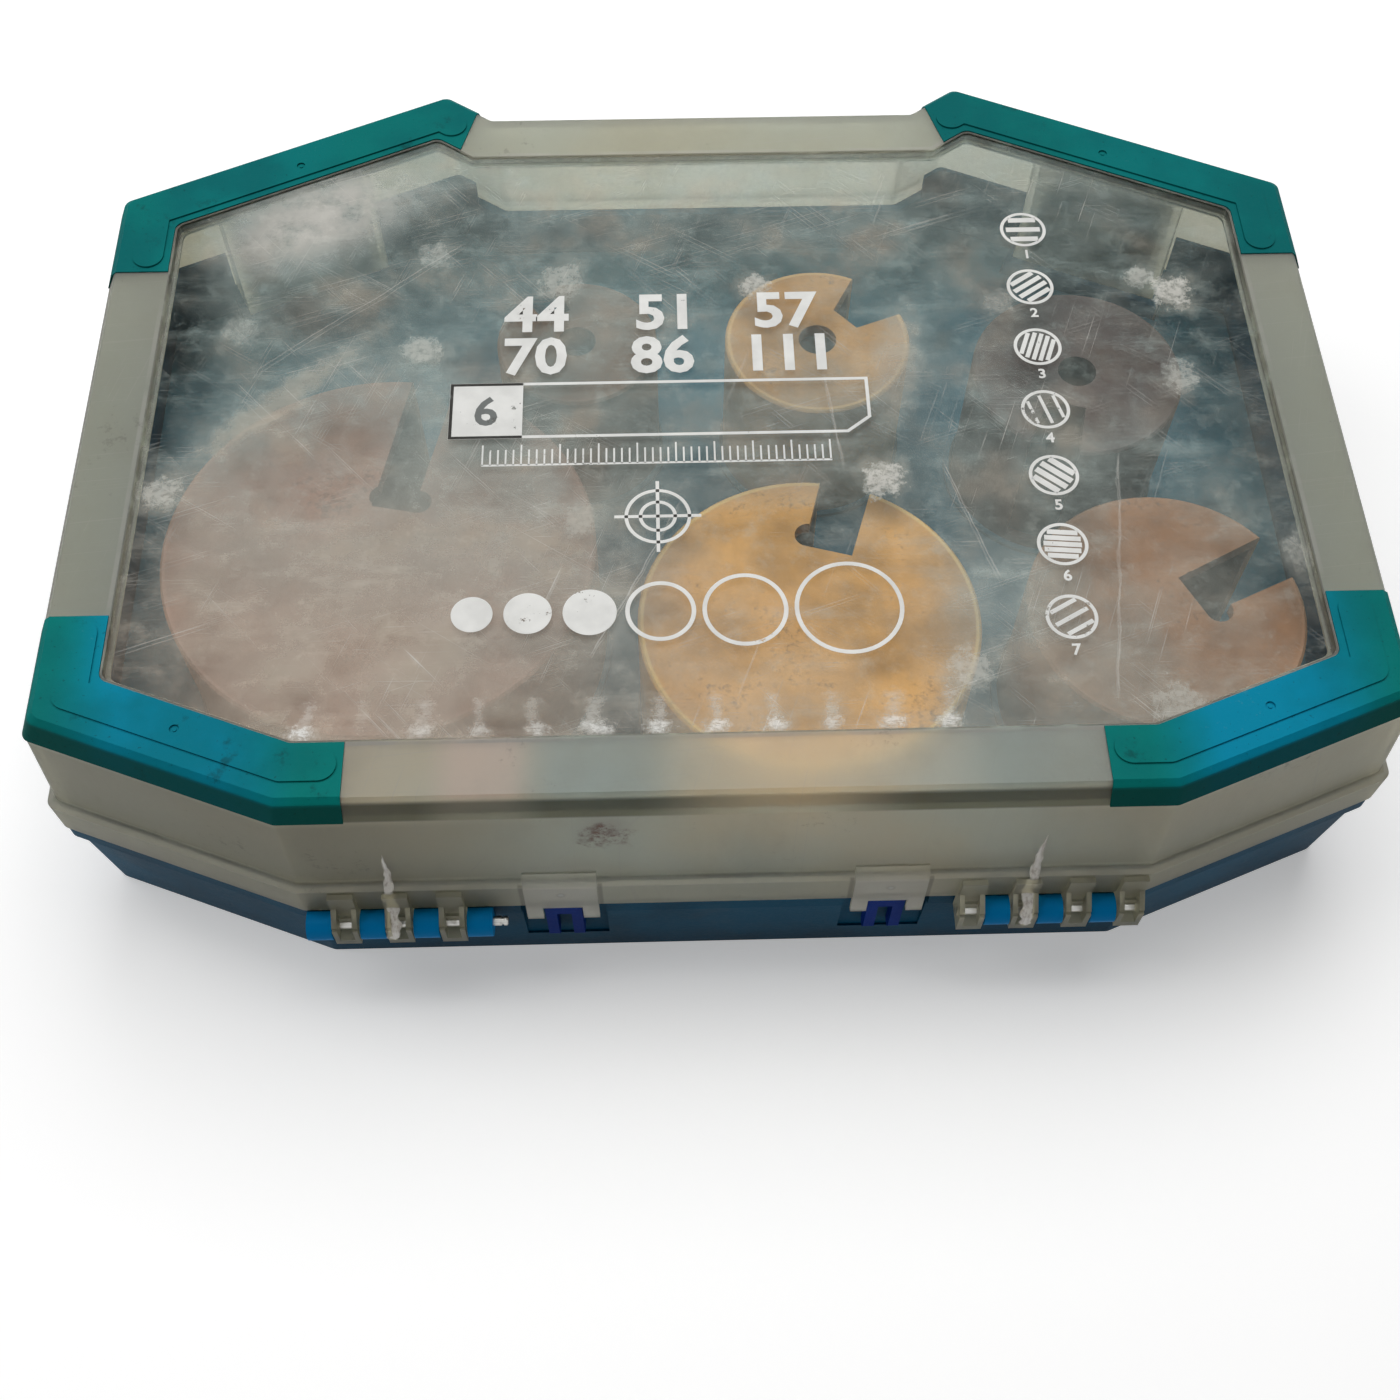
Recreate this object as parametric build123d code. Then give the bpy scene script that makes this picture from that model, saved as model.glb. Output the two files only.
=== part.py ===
from build123d import *
import math
import os

# Storage case for six hole saws: clear lid, blue base, soft corner guards.
# Frame: millimetres, +Z up, +Y towards the carry handle, -Y the hinge side.
# Origin: middle of the flat underside, on the plane of symmetry of the shells.

os.makedirs("parts", exist_ok=True)

# ---------------------------------------------------------------- outline of the lid's top
case_width = 327.2
case_depth = 231.7
hinge_flat = 209.0          # straight run between the two hinge-side corners
hinge_corner_depth = 23.1
handle_tip_span = 151.0     # distance between the two handle-side tips
handle_corner_depth = 40.5
notch_width = 123.8
notch_depth = 9.6
corner_round = 3.0

# ---------------------------------------------------------------- heights above the floor
saw_headroom = 6.0          # daylight between the saws and the underside of the lid's plate
band_height = 6.0           # sloping band below the lid's top edge
lid_ledge_drop = 36.0       # top of the lid down to its outward ledge
skirt_height = 12.0
flange_height = 6.0
seam_gap = 0.4              # daylight between the lid's skirt and the base's flange

# ---------------------------------------------------------------- outward offsets of each level
band_out = 3.2
wall_out = 5.0
skirt_out = 7.0
skirt_tuck = 0.2
flange_out = 6.3
base_top_out = 5.0
base_foot_out = 2.4
edge_break = 0.5

# ---------------------------------------------------------------- walls and fits
lid_wall = 2.3
lid_plate = 3.0
base_floor = 2.4
base_inner_out = 0.4
shell_fit = 0.6             # all-round gap between the lid and the base inside it
rim_rise = 17.0             # height of the base's inner rim above the seam
rim_cut_beside_notch = 8.0  # the rim is cut down around the handle's notch, this far past its ends
rim_cut_behind_notch = 14.0
seat_fit = 0.05             # gap of a fixed part in its seat
side_fit = 0.4              # gap of a moving part beside a fixed one

# ---------------------------------------------------------------- window in the lid
border_width = 15.3
window_thickness = 1.6
window_recess = 0.6
window_lip = 1.1

# ---------------------------------------------------------------- corner guards
guard_thickness = 1.5
guard_proud = 0.35
guard_rim = 0.6             # strip of lid left showing beside the window
guard_hinge_x = 89.0        # where the hinge-side guards end on the front
guard_hinge_y = -64.7       # where they end on the sides
guard_handle_y = 48.2       # where the handle-side guards end on the sides
guard_notch_x = 66.8        # where they end inside the notch
guard_notch_skew = 16.0
band_inset = 8.6
band_width = 8.4
band_proud = 0.5
band_margin = 5.6
dimple_radius = 1.2
dimple_depth = 0.5

# ---------------------------------------------------------------- hinge
hinge_out = 9.2             # pin axis outside the lid's top edge
hinge_drop = 3.6            # pin axis below the seam
knuckle_radius = 3.9
knuckle_count = 7
knuckle_pitch = 6.7
knuckle_gap = 0.35
hinge_inner_x = 58.4
pin_radius = 1.25
pin_running_fit = 0.08
pin_stick_out = 3.5
pin_groove = 0.25
knuckle_rib_rise = 5.0
knuckle_cheek = 1.3         # side walls of a lid knuckle's open front
knuckle_shelf = 2.2         # floor below its open front

# ---------------------------------------------------------------- tabs and keepers between the hinges
tab_x = 41.0
tab_width = 18.3
tab_proud = 0.7
tab_rise = 3.4
tab_foot_width = 4.1
tab_foot_drop = 6.5
keeper_bar_width = 9.3
keeper_leg_width = 2.8
keeper_bar_height = 5.2
keeper_leg_height = 16.5
keeper_depth = 4.2
keeper_foot_gap = 4.3       # below the keeper's legs in its recess
recess_width = 21.5
recess_back_out = 2.7

# ---------------------------------------------------------------- latches in the handle-side corners
latch_from_corner = 45.0    # along the corner's face, from the side
latch_pocket_width = 41.4
latch_pocket_depth = 7.0
latch_pocket_top = 76.0
latch_pocket_foot = 10.0
latch_cheek = 4.0
latch_width = 37.6
latch_pivot_height = 19.0
latch_pivot_out = 1.5
latch_barrel_radius = 3.4
latch_plate = 3.2
latch_top = 66.0
latch_lip = 1.6
latch_hook_height = 56.0
latch_hook_thickness = 3.0
catch_depth = 1.5
catch_height = 3.5
hook_fit = 0.3
latch_rib_width = 2.4

# ---------------------------------------------------------------- carry handle in the notch
handle_width = 106.0
handle_thickness = 8.0
handle_arm = 6.5
handle_grip = 9.0
handle_drop = 22.5          # pivot down to the middle of the grip
handle_pivot_height = 30.0
handle_pivot_gap = 0.5      # between the folded handle and the flange behind it
handle_ear = 5.5
handle_ear_radius = 4.6
handle_round = 4.0
small_pin_radius = 1.5

# ---------------------------------------------------------------- tray and saws
tray_top = 31.5
tray_plate = 2.0
tray_fit = 0.8
pocket_fit = 1.0
pocket_wall = 1.6
pocket_floor = 2.0
saw_wall = 2.2
saw_back = 4.0
saw_height = 71.6
saw_edge = 0.7
saw_bore_radius = 5.2
bored_saws = (44, 51, 57)
saw_slot_low = 30.0         # height of the slots' lower end above the teeth
tooth_drop = 2.6
tooth_width = 2.8
tooth_length = 4.0
# diameter: (place right of the middle, distance in from the hinge side, direction of the slot,
# distance of its end from the middle, its width there and at the rim)
saws = {
    44: (-36.5, 144.35, 120, 11.0, 8.0, 10.0),
    51: (29.9, 143.55, 42, 11.0, 9.0, 20.7),
    57: (100.2, 130.55, 250, 12.0, 10.0, 14.0),
    70: (112.2, 53.05, 26, 8.0, 12.5, 14.0),
    86: (22.4, 51.95, 74, 21.5, 12.5, 13.5),
    111: (-86.5, 76.15, 78, 12.5, 11.0, 12.0),
}
# a big saw's slot ends in a wider foot: its reach to the right and left of the slot's middle line
slot_feet = {70: (10.0, 6.5), 86: (5.5, 9.5), 111: (9.5, 7.0)}
slot_foot_depth = 7.0

# ---------------------------------------------------------------- places worked out from the sizes
saw_foot = base_floor + pocket_floor
case_height = saw_foot + saw_height + saw_headroom + lid_plate
half_width = case_width / 2
hinge_edge = -case_depth / 2
handle_edge = case_depth / 2
notch_edge = handle_edge - notch_depth
seam = case_height - lid_ledge_drop - skirt_height
band_foot = case_height - band_height
ledge_top = case_height - lid_ledge_drop
ledge_under = ledge_top - lid_wall
flange_top = seam - seam_gap
flange_foot = flange_top - flange_height
rim_top = seam + rim_rise
hinge_y = hinge_edge - hinge_out
hinge_height = seam - hinge_drop


def outline_points(out):
    """Corners of the case's outline moved outward by out, anticlockwise from the hinge side."""
    right = [
        Vector(hinge_flat / 2, hinge_edge),
        Vector(half_width, hinge_edge + hinge_corner_depth),
        Vector(half_width, handle_edge - handle_corner_depth),
        Vector(handle_tip_span / 2, handle_edge),
        Vector(notch_width / 2, notch_edge),
    ]
    left = [Vector(-p.X, p.Y) for p in reversed(right)]
    corners = right + left
    moved = []
    for k, here in enumerate(corners):
        into = (here - corners[k - 1]).normalized()
        away = (corners[(k + 1) % len(corners)] - here).normalized()
        normal_in = Vector(into.Y, -into.X)
        normal_away = Vector(away.Y, -away.X)
        spread = 1 + normal_in.dot(normal_away)
        moved.append(here + (normal_in + normal_away) * (out / spread))
    return moved


def ring(out, z):
    """Flat face of the outline at height z, moved outward by out, with rounded corners."""
    face = Face(Wire.make_polygon(outline_points(out), close=True))
    face = face.fillet_2d(corner_round, face.vertices())
    return face.moved(Location((0, 0, z)))


def tapered(*levels):
    """Solid through the outline at each (out, z) level, lowest first."""
    return Part() + Solid.make_loft([ring(out, z).outer_wire() for out, z in levels], ruled=True)


def upright(out, low, high):
    """Straight-sided solid of the outline between two heights."""
    return tapered((out, low), (out, high))


def span(x, y, z):
    """Box between pairs of limits."""
    size = [high - low for low, high in (x, y, z)]
    middle = [(high + low) / 2 for low, high in (x, y, z)]
    return Pos(*middle) * Box(*size)


def rod(x_low, x_high, y, z, radius):
    """Cylinder along X."""
    middle = (x_low + x_high) / 2
    return Pos(middle, y, z) * Rot(0, 90, 0) * Cylinder(radius, x_high - x_low)


def corner_frame(side):
    """Place on a handle-side corner face: local x along the face, local y outward, z at the floor."""
    corner = outline_points(0)[2]
    tip = outline_points(0)[3]
    along = (tip - corner).normalized()
    middle = corner + along * latch_from_corner
    turn = math.degrees(math.atan2(along.Y, along.X)) - 180
    place = Location((middle.X, middle.Y, 0), (0, 0, turn))
    if side < 0:
        place = Location((-middle.X, middle.Y, 0), (0, 0, -turn))
    return place


def at_corners(shape):
    """The shape at both latch places."""
    return corner_frame(1) * shape + corner_frame(-1) * shape


def latch_pocket(grow, low, high):
    """Space of a latch pocket in its corner frame, grown into the case by grow."""
    half = latch_pocket_width / 2 + grow
    return span((-half, half), (-latch_pocket_depth - grow, 3 * skirt_out), (low, high))


def knuckle_spans(side, owner):
    """X limits of the knuckles that belong to the lid or to the base on one hinge."""
    spans = []
    for k in range(knuckle_count):
        if side < 0:
            low = -hinge_inner_x - (knuckle_count - k) * knuckle_pitch
        else:
            low = hinge_inner_x + k * knuckle_pitch
        holder = "base" if (k % 2 == 0) == (side < 0) else "lid"
        if holder == owner:
            spans.append((low + knuckle_gap / 2, low + knuckle_pitch - knuckle_gap / 2))
    return spans


# ---------------------------------------------------------------- lid
def lid_outer():
    top_bevel = edge_break
    return tapered(
        (skirt_out - skirt_tuck, seam),
        (skirt_out, ledge_top - 0.8),
        (wall_out, ledge_top + 0.4),
        (band_out, band_foot),
        (top_bevel, case_height - 0.8),
        (-0.3, case_height),
    )


def lid_cavity():
    """Space inside the lid, apart from the hollows of its latch pockets."""
    inner_top = case_height - lid_plate
    wide = skirt_out - lid_wall + skirt_tuck
    hollow = tapered(
        (wall_out - lid_wall, ledge_under - 0.1),
        (band_out - lid_wall, band_foot),
        (band_out - lid_wall - 1.8, inner_top),
    )
    skirt = upright(wide, seam - 5, ledge_under)
    return hollow + skirt


def lid_knuckles():
    """Lid knuckles with two cheeks, a shelf and an open front, ribbed up to the skirt."""
    bore = pin_radius + pin_running_fit
    solid = Part()
    for side in (-1, 1):
        for low, high in knuckle_spans(side, "lid"):
            y_back = hinge_y + knuckle_radius - 0.4
            block = span((low, high), (hinge_y - knuckle_radius + 0.2, y_back),
                         (hinge_height - knuckle_radius, hinge_height + knuckle_radius - 0.4))
            arm = span((low, high), (hinge_y + 0.8, hinge_edge - wall_out),
                       (hinge_height + 2.0, ledge_under))
            solid += block + arm
            solid -= span((low + knuckle_cheek, high - knuckle_cheek),
                          (hinge_y - 2 * knuckle_radius, hinge_y),
                          (hinge_height - knuckle_radius + knuckle_shelf,
                           hinge_height + 2 * knuckle_radius))
            for x in (low, high - knuckle_cheek):
                foot = hinge_height + knuckle_radius - 0.6
                face = Plane.YZ.offset(x) * make_face(Polyline(
                    (hinge_y - knuckle_radius + 0.8, foot),
                    (hinge_edge - skirt_out + 0.6, foot),
                    (hinge_edge - skirt_out + 0.6, foot + knuckle_rib_rise),
                    (hinge_edge - skirt_out - 0.5, foot + knuckle_rib_rise),
                    (hinge_y - knuckle_radius + 0.8, foot + 1.2),
                    close=True))
                solid += extrude(face, knuckle_cheek)
            solid -= rod(low - 1, high + 1, hinge_y, hinge_height, bore)
    return solid


def lid_tabs():
    """Hooded tabs on the skirt, each with two feet that stand beside a keeper."""
    solid = Part()
    face_y = hinge_edge - skirt_out - tab_proud
    for side in (-1, 1):
        half = tab_width / 2
        profile = make_face(Polyline(
            (face_y, seam),
            (hinge_edge - wall_out + 0.6, seam),
            (hinge_edge - wall_out + 0.6, ledge_top + tab_rise),
            (hinge_edge - wall_out - 0.3, ledge_top + tab_rise),
            (face_y + 0.2, ledge_top - 0.8),
            close=True))
        hood = extrude(Plane.YZ.offset(side * tab_x - half) * profile, tab_width)
        solid += hood
        for inner in (-1, 1):
            x = side * tab_x + inner * (half - tab_foot_width / 2)
            solid += span((x - tab_foot_width / 2, x + tab_foot_width / 2),
                          (face_y, hinge_edge - flange_out - 0.3),
                          (seam - tab_foot_drop, seam + 0.5))
    return solid


def guard_zone():
    """Blocks that hold the four corner guards, right-hand pair, as separate solids."""
    far = 3 * half_width
    low = band_foot
    high = case_height + 10
    hinge_side = span((guard_hinge_x, far), (-far, guard_hinge_y), (low, high))
    skew = math.tan(math.radians(guard_notch_skew)) * notch_depth
    face = make_face(Polyline(
        (guard_notch_x + 2 * skew, notch_edge - 2 * notch_depth),
        (far, guard_handle_y),
        (far, far),
        (guard_notch_x - 2 * skew, far),
        (guard_notch_x - 2 * skew, notch_edge + 2 * notch_depth),
        close=True))
    slab = extrude(Plane.XY.offset(low) * face, high - low)
    slab += span((guard_notch_x + 2 * skew, far), (guard_handle_y, far), (low, high))
    beside_notch = span((0, guard_notch_x + 2 * skew), (-far, far), (low, high))
    wedge = make_face(Polyline(
        (guard_notch_x + 2 * skew, notch_edge - 2 * notch_depth),
        (guard_notch_x - 2 * skew, notch_edge + 2 * notch_depth),
        (guard_notch_x + 2 * skew, notch_edge + 2 * notch_depth),
        close=True))
    tip = extrude(Plane.XY.offset(low) * wedge, high - low)
    handle_side = span((guard_notch_x + 2 * skew, far), (guard_handle_y, far), (low, high)) + tip
    return {"hinge": hinge_side, "handle": handle_side}


def guard_core(grow):
    """What the guards wrap round: the lid less the guards' thickness, with the strip at the window."""
    under_top = case_height - guard_thickness
    slope_out = band_out * guard_thickness / band_height
    core = tapered(
        (band_out - guard_thickness + grow, band_foot - 1),
        (band_out - guard_thickness + grow, band_foot),
        (slope_out - guard_thickness + grow, under_top + grow),
    )
    strip = upright(guard_rim - border_width + grow, under_top - 1, case_height + 20)
    return core + strip


def guard_skin():
    """Outer form shared by all guards, with a rounded top edge."""
    return tapered(
        (band_out + guard_proud, band_foot),
        (band_out / 4 + guard_proud, case_height - 0.9),
        (-0.4, case_height + guard_proud),
    )


def guard_band_path(kind):
    """Middle line of the raised band on a right-hand guard."""
    inset = outline_points(-band_inset)
    side_x = inset[1].X
    if kind == "hinge":
        return [Vector(guard_hinge_x + band_margin, inset[0].Y), inset[0], inset[1],
                Vector(side_x, guard_hinge_y - band_margin)]
    into_notch = (inset[4] - inset[3]).normalized()
    reach = (inset[3].X - guard_notch_x) - band_margin
    return [Vector(side_x, guard_handle_y + band_margin), inset[2], inset[3],
            inset[3] + into_notch * reach]


def guard(kind):
    """One right-hand corner guard."""
    body = guard_skin() & guard_zone()[kind]
    body -= guard_core(seat_fit)
    path = guard_band_path(kind)
    raised = Sketch()
    for a, b in zip(path, path[1:]):
        middle = (a + b) * 0.5
        turn = math.degrees(math.atan2(b.Y - a.Y, b.X - a.X))
        slot = SlotCenterToCenter((b - a).length, band_width)
        raised += Location((middle.X, middle.Y), (0, 0, turn)) * slot
    foot = case_height - guard_thickness / 2
    body += extrude(Plane.XY.offset(foot) * raised, case_height + guard_proud + band_proud - foot)
    spot = (path[1] + path[2]) * 0.5
    top = case_height + guard_proud + band_proud
    dimple = Pos(spot.X, spot.Y, top) * Cylinder(dimple_radius, 2 * dimple_depth)
    pip = Pos(spot.X, spot.Y, top - dimple_depth) * Cylinder(dimple_radius / 2.4, dimple_depth)
    return body - (dimple - pip)


def guards():
    """All four corner guards, by name."""
    made = {}
    for kind in ("hinge", "handle"):
        right = guard(kind)
        made[f"corner_guard_{kind}_right"] = right
        made[f"corner_guard_{kind}_left"] = right.mirror(Plane.YZ)
    return made


def lid_shell():
    shell = lid_outer()
    shell -= at_corners(latch_pocket(0, -5, latch_pocket_top))
    hollow = lid_cavity()
    hollow -= at_corners(latch_pocket(lid_wall - 0.3, -10, latch_pocket_top + lid_wall - 0.3))
    shell -= hollow
    panel_foot = case_height - window_recess - window_thickness
    shell -= upright(-border_width, panel_foot, case_height + 5)
    shell -= upright(-border_width - window_lip, case_height - 2 * lid_plate, case_height)
    for zone in guard_zone().values():
        seat = upright(3 * skirt_out, band_foot, case_height + 5) - guard_core(0)
        cut = seat & zone
        shell -= cut
        shell -= cut.mirror(Plane.YZ)
    catch_top = latch_hook_height - 0.6
    catch = span((-latch_width / 4, latch_width / 4),
                 (-latch_pocket_depth - 0.5, catch_depth - latch_pocket_depth),
                 (catch_top - catch_height, catch_top))
    shell += at_corners(catch)
    shell += lid_knuckles()
    shell += lid_tabs()
    return shell


def lid_window():
    panel_foot = case_height - window_recess - window_thickness
    return upright(-border_width - seat_fit, panel_foot, panel_foot + window_thickness)


# ---------------------------------------------------------------- base
def base_shell():
    outer = tapered((base_foot_out, 0), (base_top_out, flange_foot))
    outer += tapered((flange_out - 0.3, flange_foot), (flange_out, flange_foot + 0.6),
                     (flange_out, flange_top))
    inside_skirt = skirt_out - lid_wall + skirt_tuck - shell_fit
    outer += upright(inside_skirt, flange_top, ledge_under - seam_gap)
    slope = (wall_out - band_out) / (ledge_top - band_foot)
    rim_low = wall_out - lid_wall - shell_fit
    rim_high = rim_low + slope * (rim_top - ledge_under)
    rim = tapered((rim_low, flange_top), (rim_low, ledge_under), (rim_high, rim_top))
    jog = lid_wall + side_fit
    rim -= at_corners(latch_pocket(jog, flange_top, rim_top + 5))
    beside_notch = notch_width / 2 + rim_cut_beside_notch
    rim -= span((-beside_notch, beside_notch), (notch_edge - rim_cut_behind_notch, 2 * handle_edge),
                (ledge_under - seam_gap, rim_top + 5))
    outer -= at_corners(latch_pocket(jog, flange_top, ledge_under + 5))
    hollow = upright(base_inner_out, base_floor, rim_top + 5)
    hollow -= at_corners(latch_pocket(latch_cheek, 0, flange_top))
    shell = outer + rim
    shell -= hollow
    shell -= at_corners(latch_pocket(0, latch_pocket_foot, flange_top + 10))
    shell -= keeper_recesses()
    shell -= knuckle_clearance()
    shell += base_knuckles()
    shell += handle_ears()
    shell -= base_pin_holes()
    shell -= underside_panels()
    return shell


def keeper_recesses():
    recess_foot = flange_top - keeper_bar_height - keeper_leg_height - keeper_foot_gap
    solid = Part()
    for side in (-1, 1):
        middle = side * tab_x
        solid += span((middle - recess_width / 2, middle + recess_width / 2),
                      (hinge_edge - 3 * skirt_out, hinge_edge - recess_back_out),
                      (recess_foot, flange_top + 0.1))
    return solid


def knuckle_clearance():
    """Room in the flange for the lid's knuckles to turn."""
    reach = math.hypot(knuckle_radius, knuckle_radius) + 0.2
    solid = Part()
    for side in (-1, 1):
        for low, high in knuckle_spans(side, "lid"):
            solid += rod(low - knuckle_gap, high + knuckle_gap, hinge_y, hinge_height, reach)
    return solid


def base_knuckles():
    """Round base knuckles on arms from the flange."""
    solid = Part()
    for side in (-1, 1):
        for low, high in knuckle_spans(side, "base"):
            barrel = rod(low, high, hinge_y, hinge_height, knuckle_radius)
            arm = span((low, high), (hinge_y, hinge_edge - base_foot_out),
                       (hinge_height - knuckle_radius, hinge_height + 0.4))
            solid += barrel + arm
            solid -= rod(low - 1, high + 1, hinge_y, hinge_height, pin_radius + seat_fit / 2)
    return solid


def handle_pivot_y():
    return notch_edge + flange_out + handle_pivot_gap + handle_thickness / 2


def handle_ears():
    """Ears that carry the handle's pins, one at each end of the notch."""
    y = handle_pivot_y()
    wall_y = notch_edge + base_foot_out
    solid = Part()
    for side in (-1, 1):
        inner = handle_width / 2 + side_fit
        x_low, x_high = sorted((side * inner, side * (inner + handle_ear)))
        solid += rod(x_low, x_high, y, handle_pivot_height, handle_ear_radius)
        solid += span((x_low, x_high), (wall_y, y),
                      (handle_pivot_height - handle_ear_radius, handle_pivot_height + handle_ear_radius))
    return solid


def base_pin_holes():
    """Bores for the handle pins and the latch pins."""
    bore = small_pin_radius + seat_fit / 2
    reach = handle_width / 2 + handle_ear + 2
    solid = Part()
    for side in (-1, 1):
        low, high = sorted((side * handle_width / 2, side * reach))
        solid += rod(low, high, handle_pivot_y(), handle_pivot_height, bore)
    solid += at_corners(latch_pin_solid(bore, seat_fit))
    return solid


def underside_panels():
    """Shallow sunk panels that leave a flat cross and rim to rest on."""
    deep = 0.8
    rest = 12.0
    inner = upright(base_foot_out - rest, -1, deep)
    cross = span((-rest, rest), (-case_depth, case_depth), (-2, 2 * deep))
    cross += span((-case_width, case_width), (-rest, rest), (-2, 2 * deep))
    return inner - cross


# ---------------------------------------------------------------- pins, keepers, latches, handle
def hinge_pin(side):
    """Steel pin; the left one stands out at its inner end."""
    length = knuckle_count * knuckle_pitch
    if side < 0:
        low = -hinge_inner_x - length + 0.6
        high = -hinge_inner_x + pin_stick_out
    else:
        low = hinge_inner_x + 0.6
        high = hinge_inner_x + length - 0.6
    pin = rod(low, high, hinge_y, hinge_height, pin_radius)
    for x in (low, high):
        ends = pin.edges().filter_by(GeomType.CIRCLE)
        pin = chamfer(ends.sort_by_distance(Vertex(x, hinge_y, hinge_height))[:1], 0.3)
    if side < 0:
        groove = rod(high - 1.6, high - 1.0, hinge_y, hinge_height, 2 * pin_radius)
        groove -= rod(high - 2, high, hinge_y, hinge_height, pin_radius - pin_groove)
        pin -= groove
    return pin


def keeper(side):
    """Two-legged keeper that fills a recess of the base and stands between a tab's feet."""
    middle = side * tab_x
    back = hinge_edge - recess_back_out
    front = back - keeper_depth
    top = flange_top - 0.2
    bar = span((middle - keeper_bar_width / 2, middle + keeper_bar_width / 2), (front, back),
               (top - keeper_bar_height, top))
    solid = bar
    for leg in (-1, 1):
        x = middle + leg * (keeper_bar_width - keeper_leg_width) / 2
        foot = top - keeper_bar_height - keeper_leg_height
        profile = make_face(Polyline(
            (front, top - 1),
            (back, top - 1),
            (back, foot),
            (front + 1.6, foot),
            (front + 0.3, foot + 3.2),
            close=True))
        solid += extrude(Plane.YZ.offset(x - keeper_leg_width / 2) * profile, keeper_leg_width)
    return solid


def latch_pin_solid(radius, end_gap):
    half = latch_pocket_width / 2 + latch_cheek - 1.2 + end_gap
    return rod(-half, half, latch_pivot_out, latch_pivot_height, radius)


def latch_solid():
    """Latch in its corner frame: barrel, plate, side ribs, hook and finger lip."""
    half = latch_width / 2
    plate_in = latch_pivot_out + latch_barrel_radius - latch_plate
    plate_out = latch_pivot_out + latch_barrel_radius
    plate = span((-half, half), (plate_in, plate_out), (latch_pivot_height, latch_top))
    lip = span((-half, half), (plate_in, plate_out + latch_lip), (latch_top - 4, latch_top))
    lip = chamfer(lip.edges().filter_by(Axis.X).group_by(Axis.Y)[-1], 1.2)
    barrel = rod(-half, half, latch_pivot_out, latch_pivot_height, latch_barrel_radius)
    hook_tip = catch_depth - latch_pocket_depth + hook_fit
    hook = span((-half + 3, half - 3), (hook_tip, plate_in),
                (latch_hook_height, latch_hook_height + latch_hook_thickness))
    solid = plate + lip + barrel + hook
    for x in (-half, -latch_rib_width / 2, half - latch_rib_width):
        solid += span((x, x + latch_rib_width), (-3.4, plate_in + 0.5),
                      (latch_pivot_height + 2, latch_hook_height + 1))
    solid -= rod(-half - 1, half + 1, latch_pivot_out, latch_pivot_height,
                 small_pin_radius + pin_running_fit)
    return solid


def carry_handle():
    """Flat bail that hangs in the notch from two pins."""
    low = handle_pivot_height - handle_drop - handle_grip / 2
    y = handle_pivot_y()
    half = handle_width / 2
    solid = span((-half, half), (y - handle_thickness / 2, y + handle_thickness / 2),
                 (low, handle_pivot_height))
    solid = fillet(solid.edges().filter_by(Axis.Y).group_by(Axis.Z)[0], handle_round)
    inner = half - handle_arm
    opening = span((-inner, inner), (y - handle_thickness, y + handle_thickness),
                   (low + handle_grip, 2 * handle_pivot_height))
    solid -= fillet(opening.edges().filter_by(Axis.Y).group_by(Axis.Z)[0], handle_round)
    solid = fillet(solid.edges().filter_by(Axis.X).group_by(Axis.Z)[0], handle_thickness / 4)
    for side in (-1, 1):
        low_x, high_x = sorted((side * inner, side * half))
        solid += rod(low_x, high_x, y, handle_pivot_height, handle_thickness / 2)
        solid -= rod(low_x - 1, high_x + 1, y, handle_pivot_height, small_pin_radius + pin_running_fit)
    return solid


def handle_pin(side):
    inner = side * (handle_width / 2 - handle_arm)
    outer = side * (handle_width / 2 + handle_ear)
    low, high = sorted((inner, outer))
    return rod(low, high, handle_pivot_y(), handle_pivot_height, small_pin_radius)


# ---------------------------------------------------------------- tray and saws
def saw_place(size):
    """Middle of a saw in plan, set in from the case's hinge side."""
    x, inward = saws[size][:2]
    return x, hinge_edge + inward


def tray_insert():
    """Deck with a round, floored pocket for each saw."""
    deck = upright(base_inner_out - tray_fit, tray_top - tray_plate, tray_top)
    deck -= at_corners(latch_pocket(latch_cheek + tray_fit, 0, case_height))
    for size in saws:
        x, y = saw_place(size)
        outer = size / 2 + pocket_fit + pocket_wall
        tall = tray_top + 1.2 - base_floor
        deck += Pos(x, y, base_floor + tall / 2) * Cylinder(outer, tall)
    for size in saws:
        x, y = saw_place(size)
        tall = case_height
        deck -= Pos(x, y, saw_foot + tall / 2) * Cylinder(size / 2 + pocket_fit, tall)
    return deck


def hole_saw(size):
    """Cup with its back upward, a slot through back and wall, and tooth notches at the foot."""
    x, y = saw_place(size)
    direction, slot_end, end_width, rim_width = saws[size][2:]
    radius = size / 2
    foot = tooth_drop
    top = saw_height
    cup = Pos(0, 0, (foot + top) / 2) * Cylinder(radius, top - foot)
    cup = chamfer(cup.edges().filter_by(GeomType.CIRCLE).sort_by(Axis.Z)[-1:], saw_edge)
    cup -= Pos(0, 0, (top - saw_back) / 2) * Cylinder(radius - saw_wall, top - saw_back)
    if size in bored_saws:
        cup -= Pos(0, 0, top) * Cylinder(saw_bore_radius, 3 * saw_back)
    slot = make_face(Polyline(
        (slot_end, -end_width / 2),
        (radius + 1, -rim_width / 2),
        (radius + 1, rim_width / 2),
        (slot_end, end_width / 2),
        close=True))
    if size in slot_feet:
        right, left = slot_feet[size]
        foot_pad = RectangleRounded(slot_foot_depth, right + left, slot_foot_depth / 2 - 0.05)
        slot += Pos(slot_end + slot_foot_depth / 2, (left - right) / 2) * foot_pad
    cup -= Rot(0, 0, direction) * extrude(Plane.XY.offset(saw_slot_low) * slot, top)
    for angle in tooth_angles(size):
        gullet = span((radius - 3 * saw_wall, radius + 1), (-tooth_width / 2, 2.4 * tooth_width),
                      (0, tooth_drop + tooth_length + 1))
        cup -= Rot(0, 0, angle) * gullet
    return Pos(x, y, saw_foot) * cup


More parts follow.
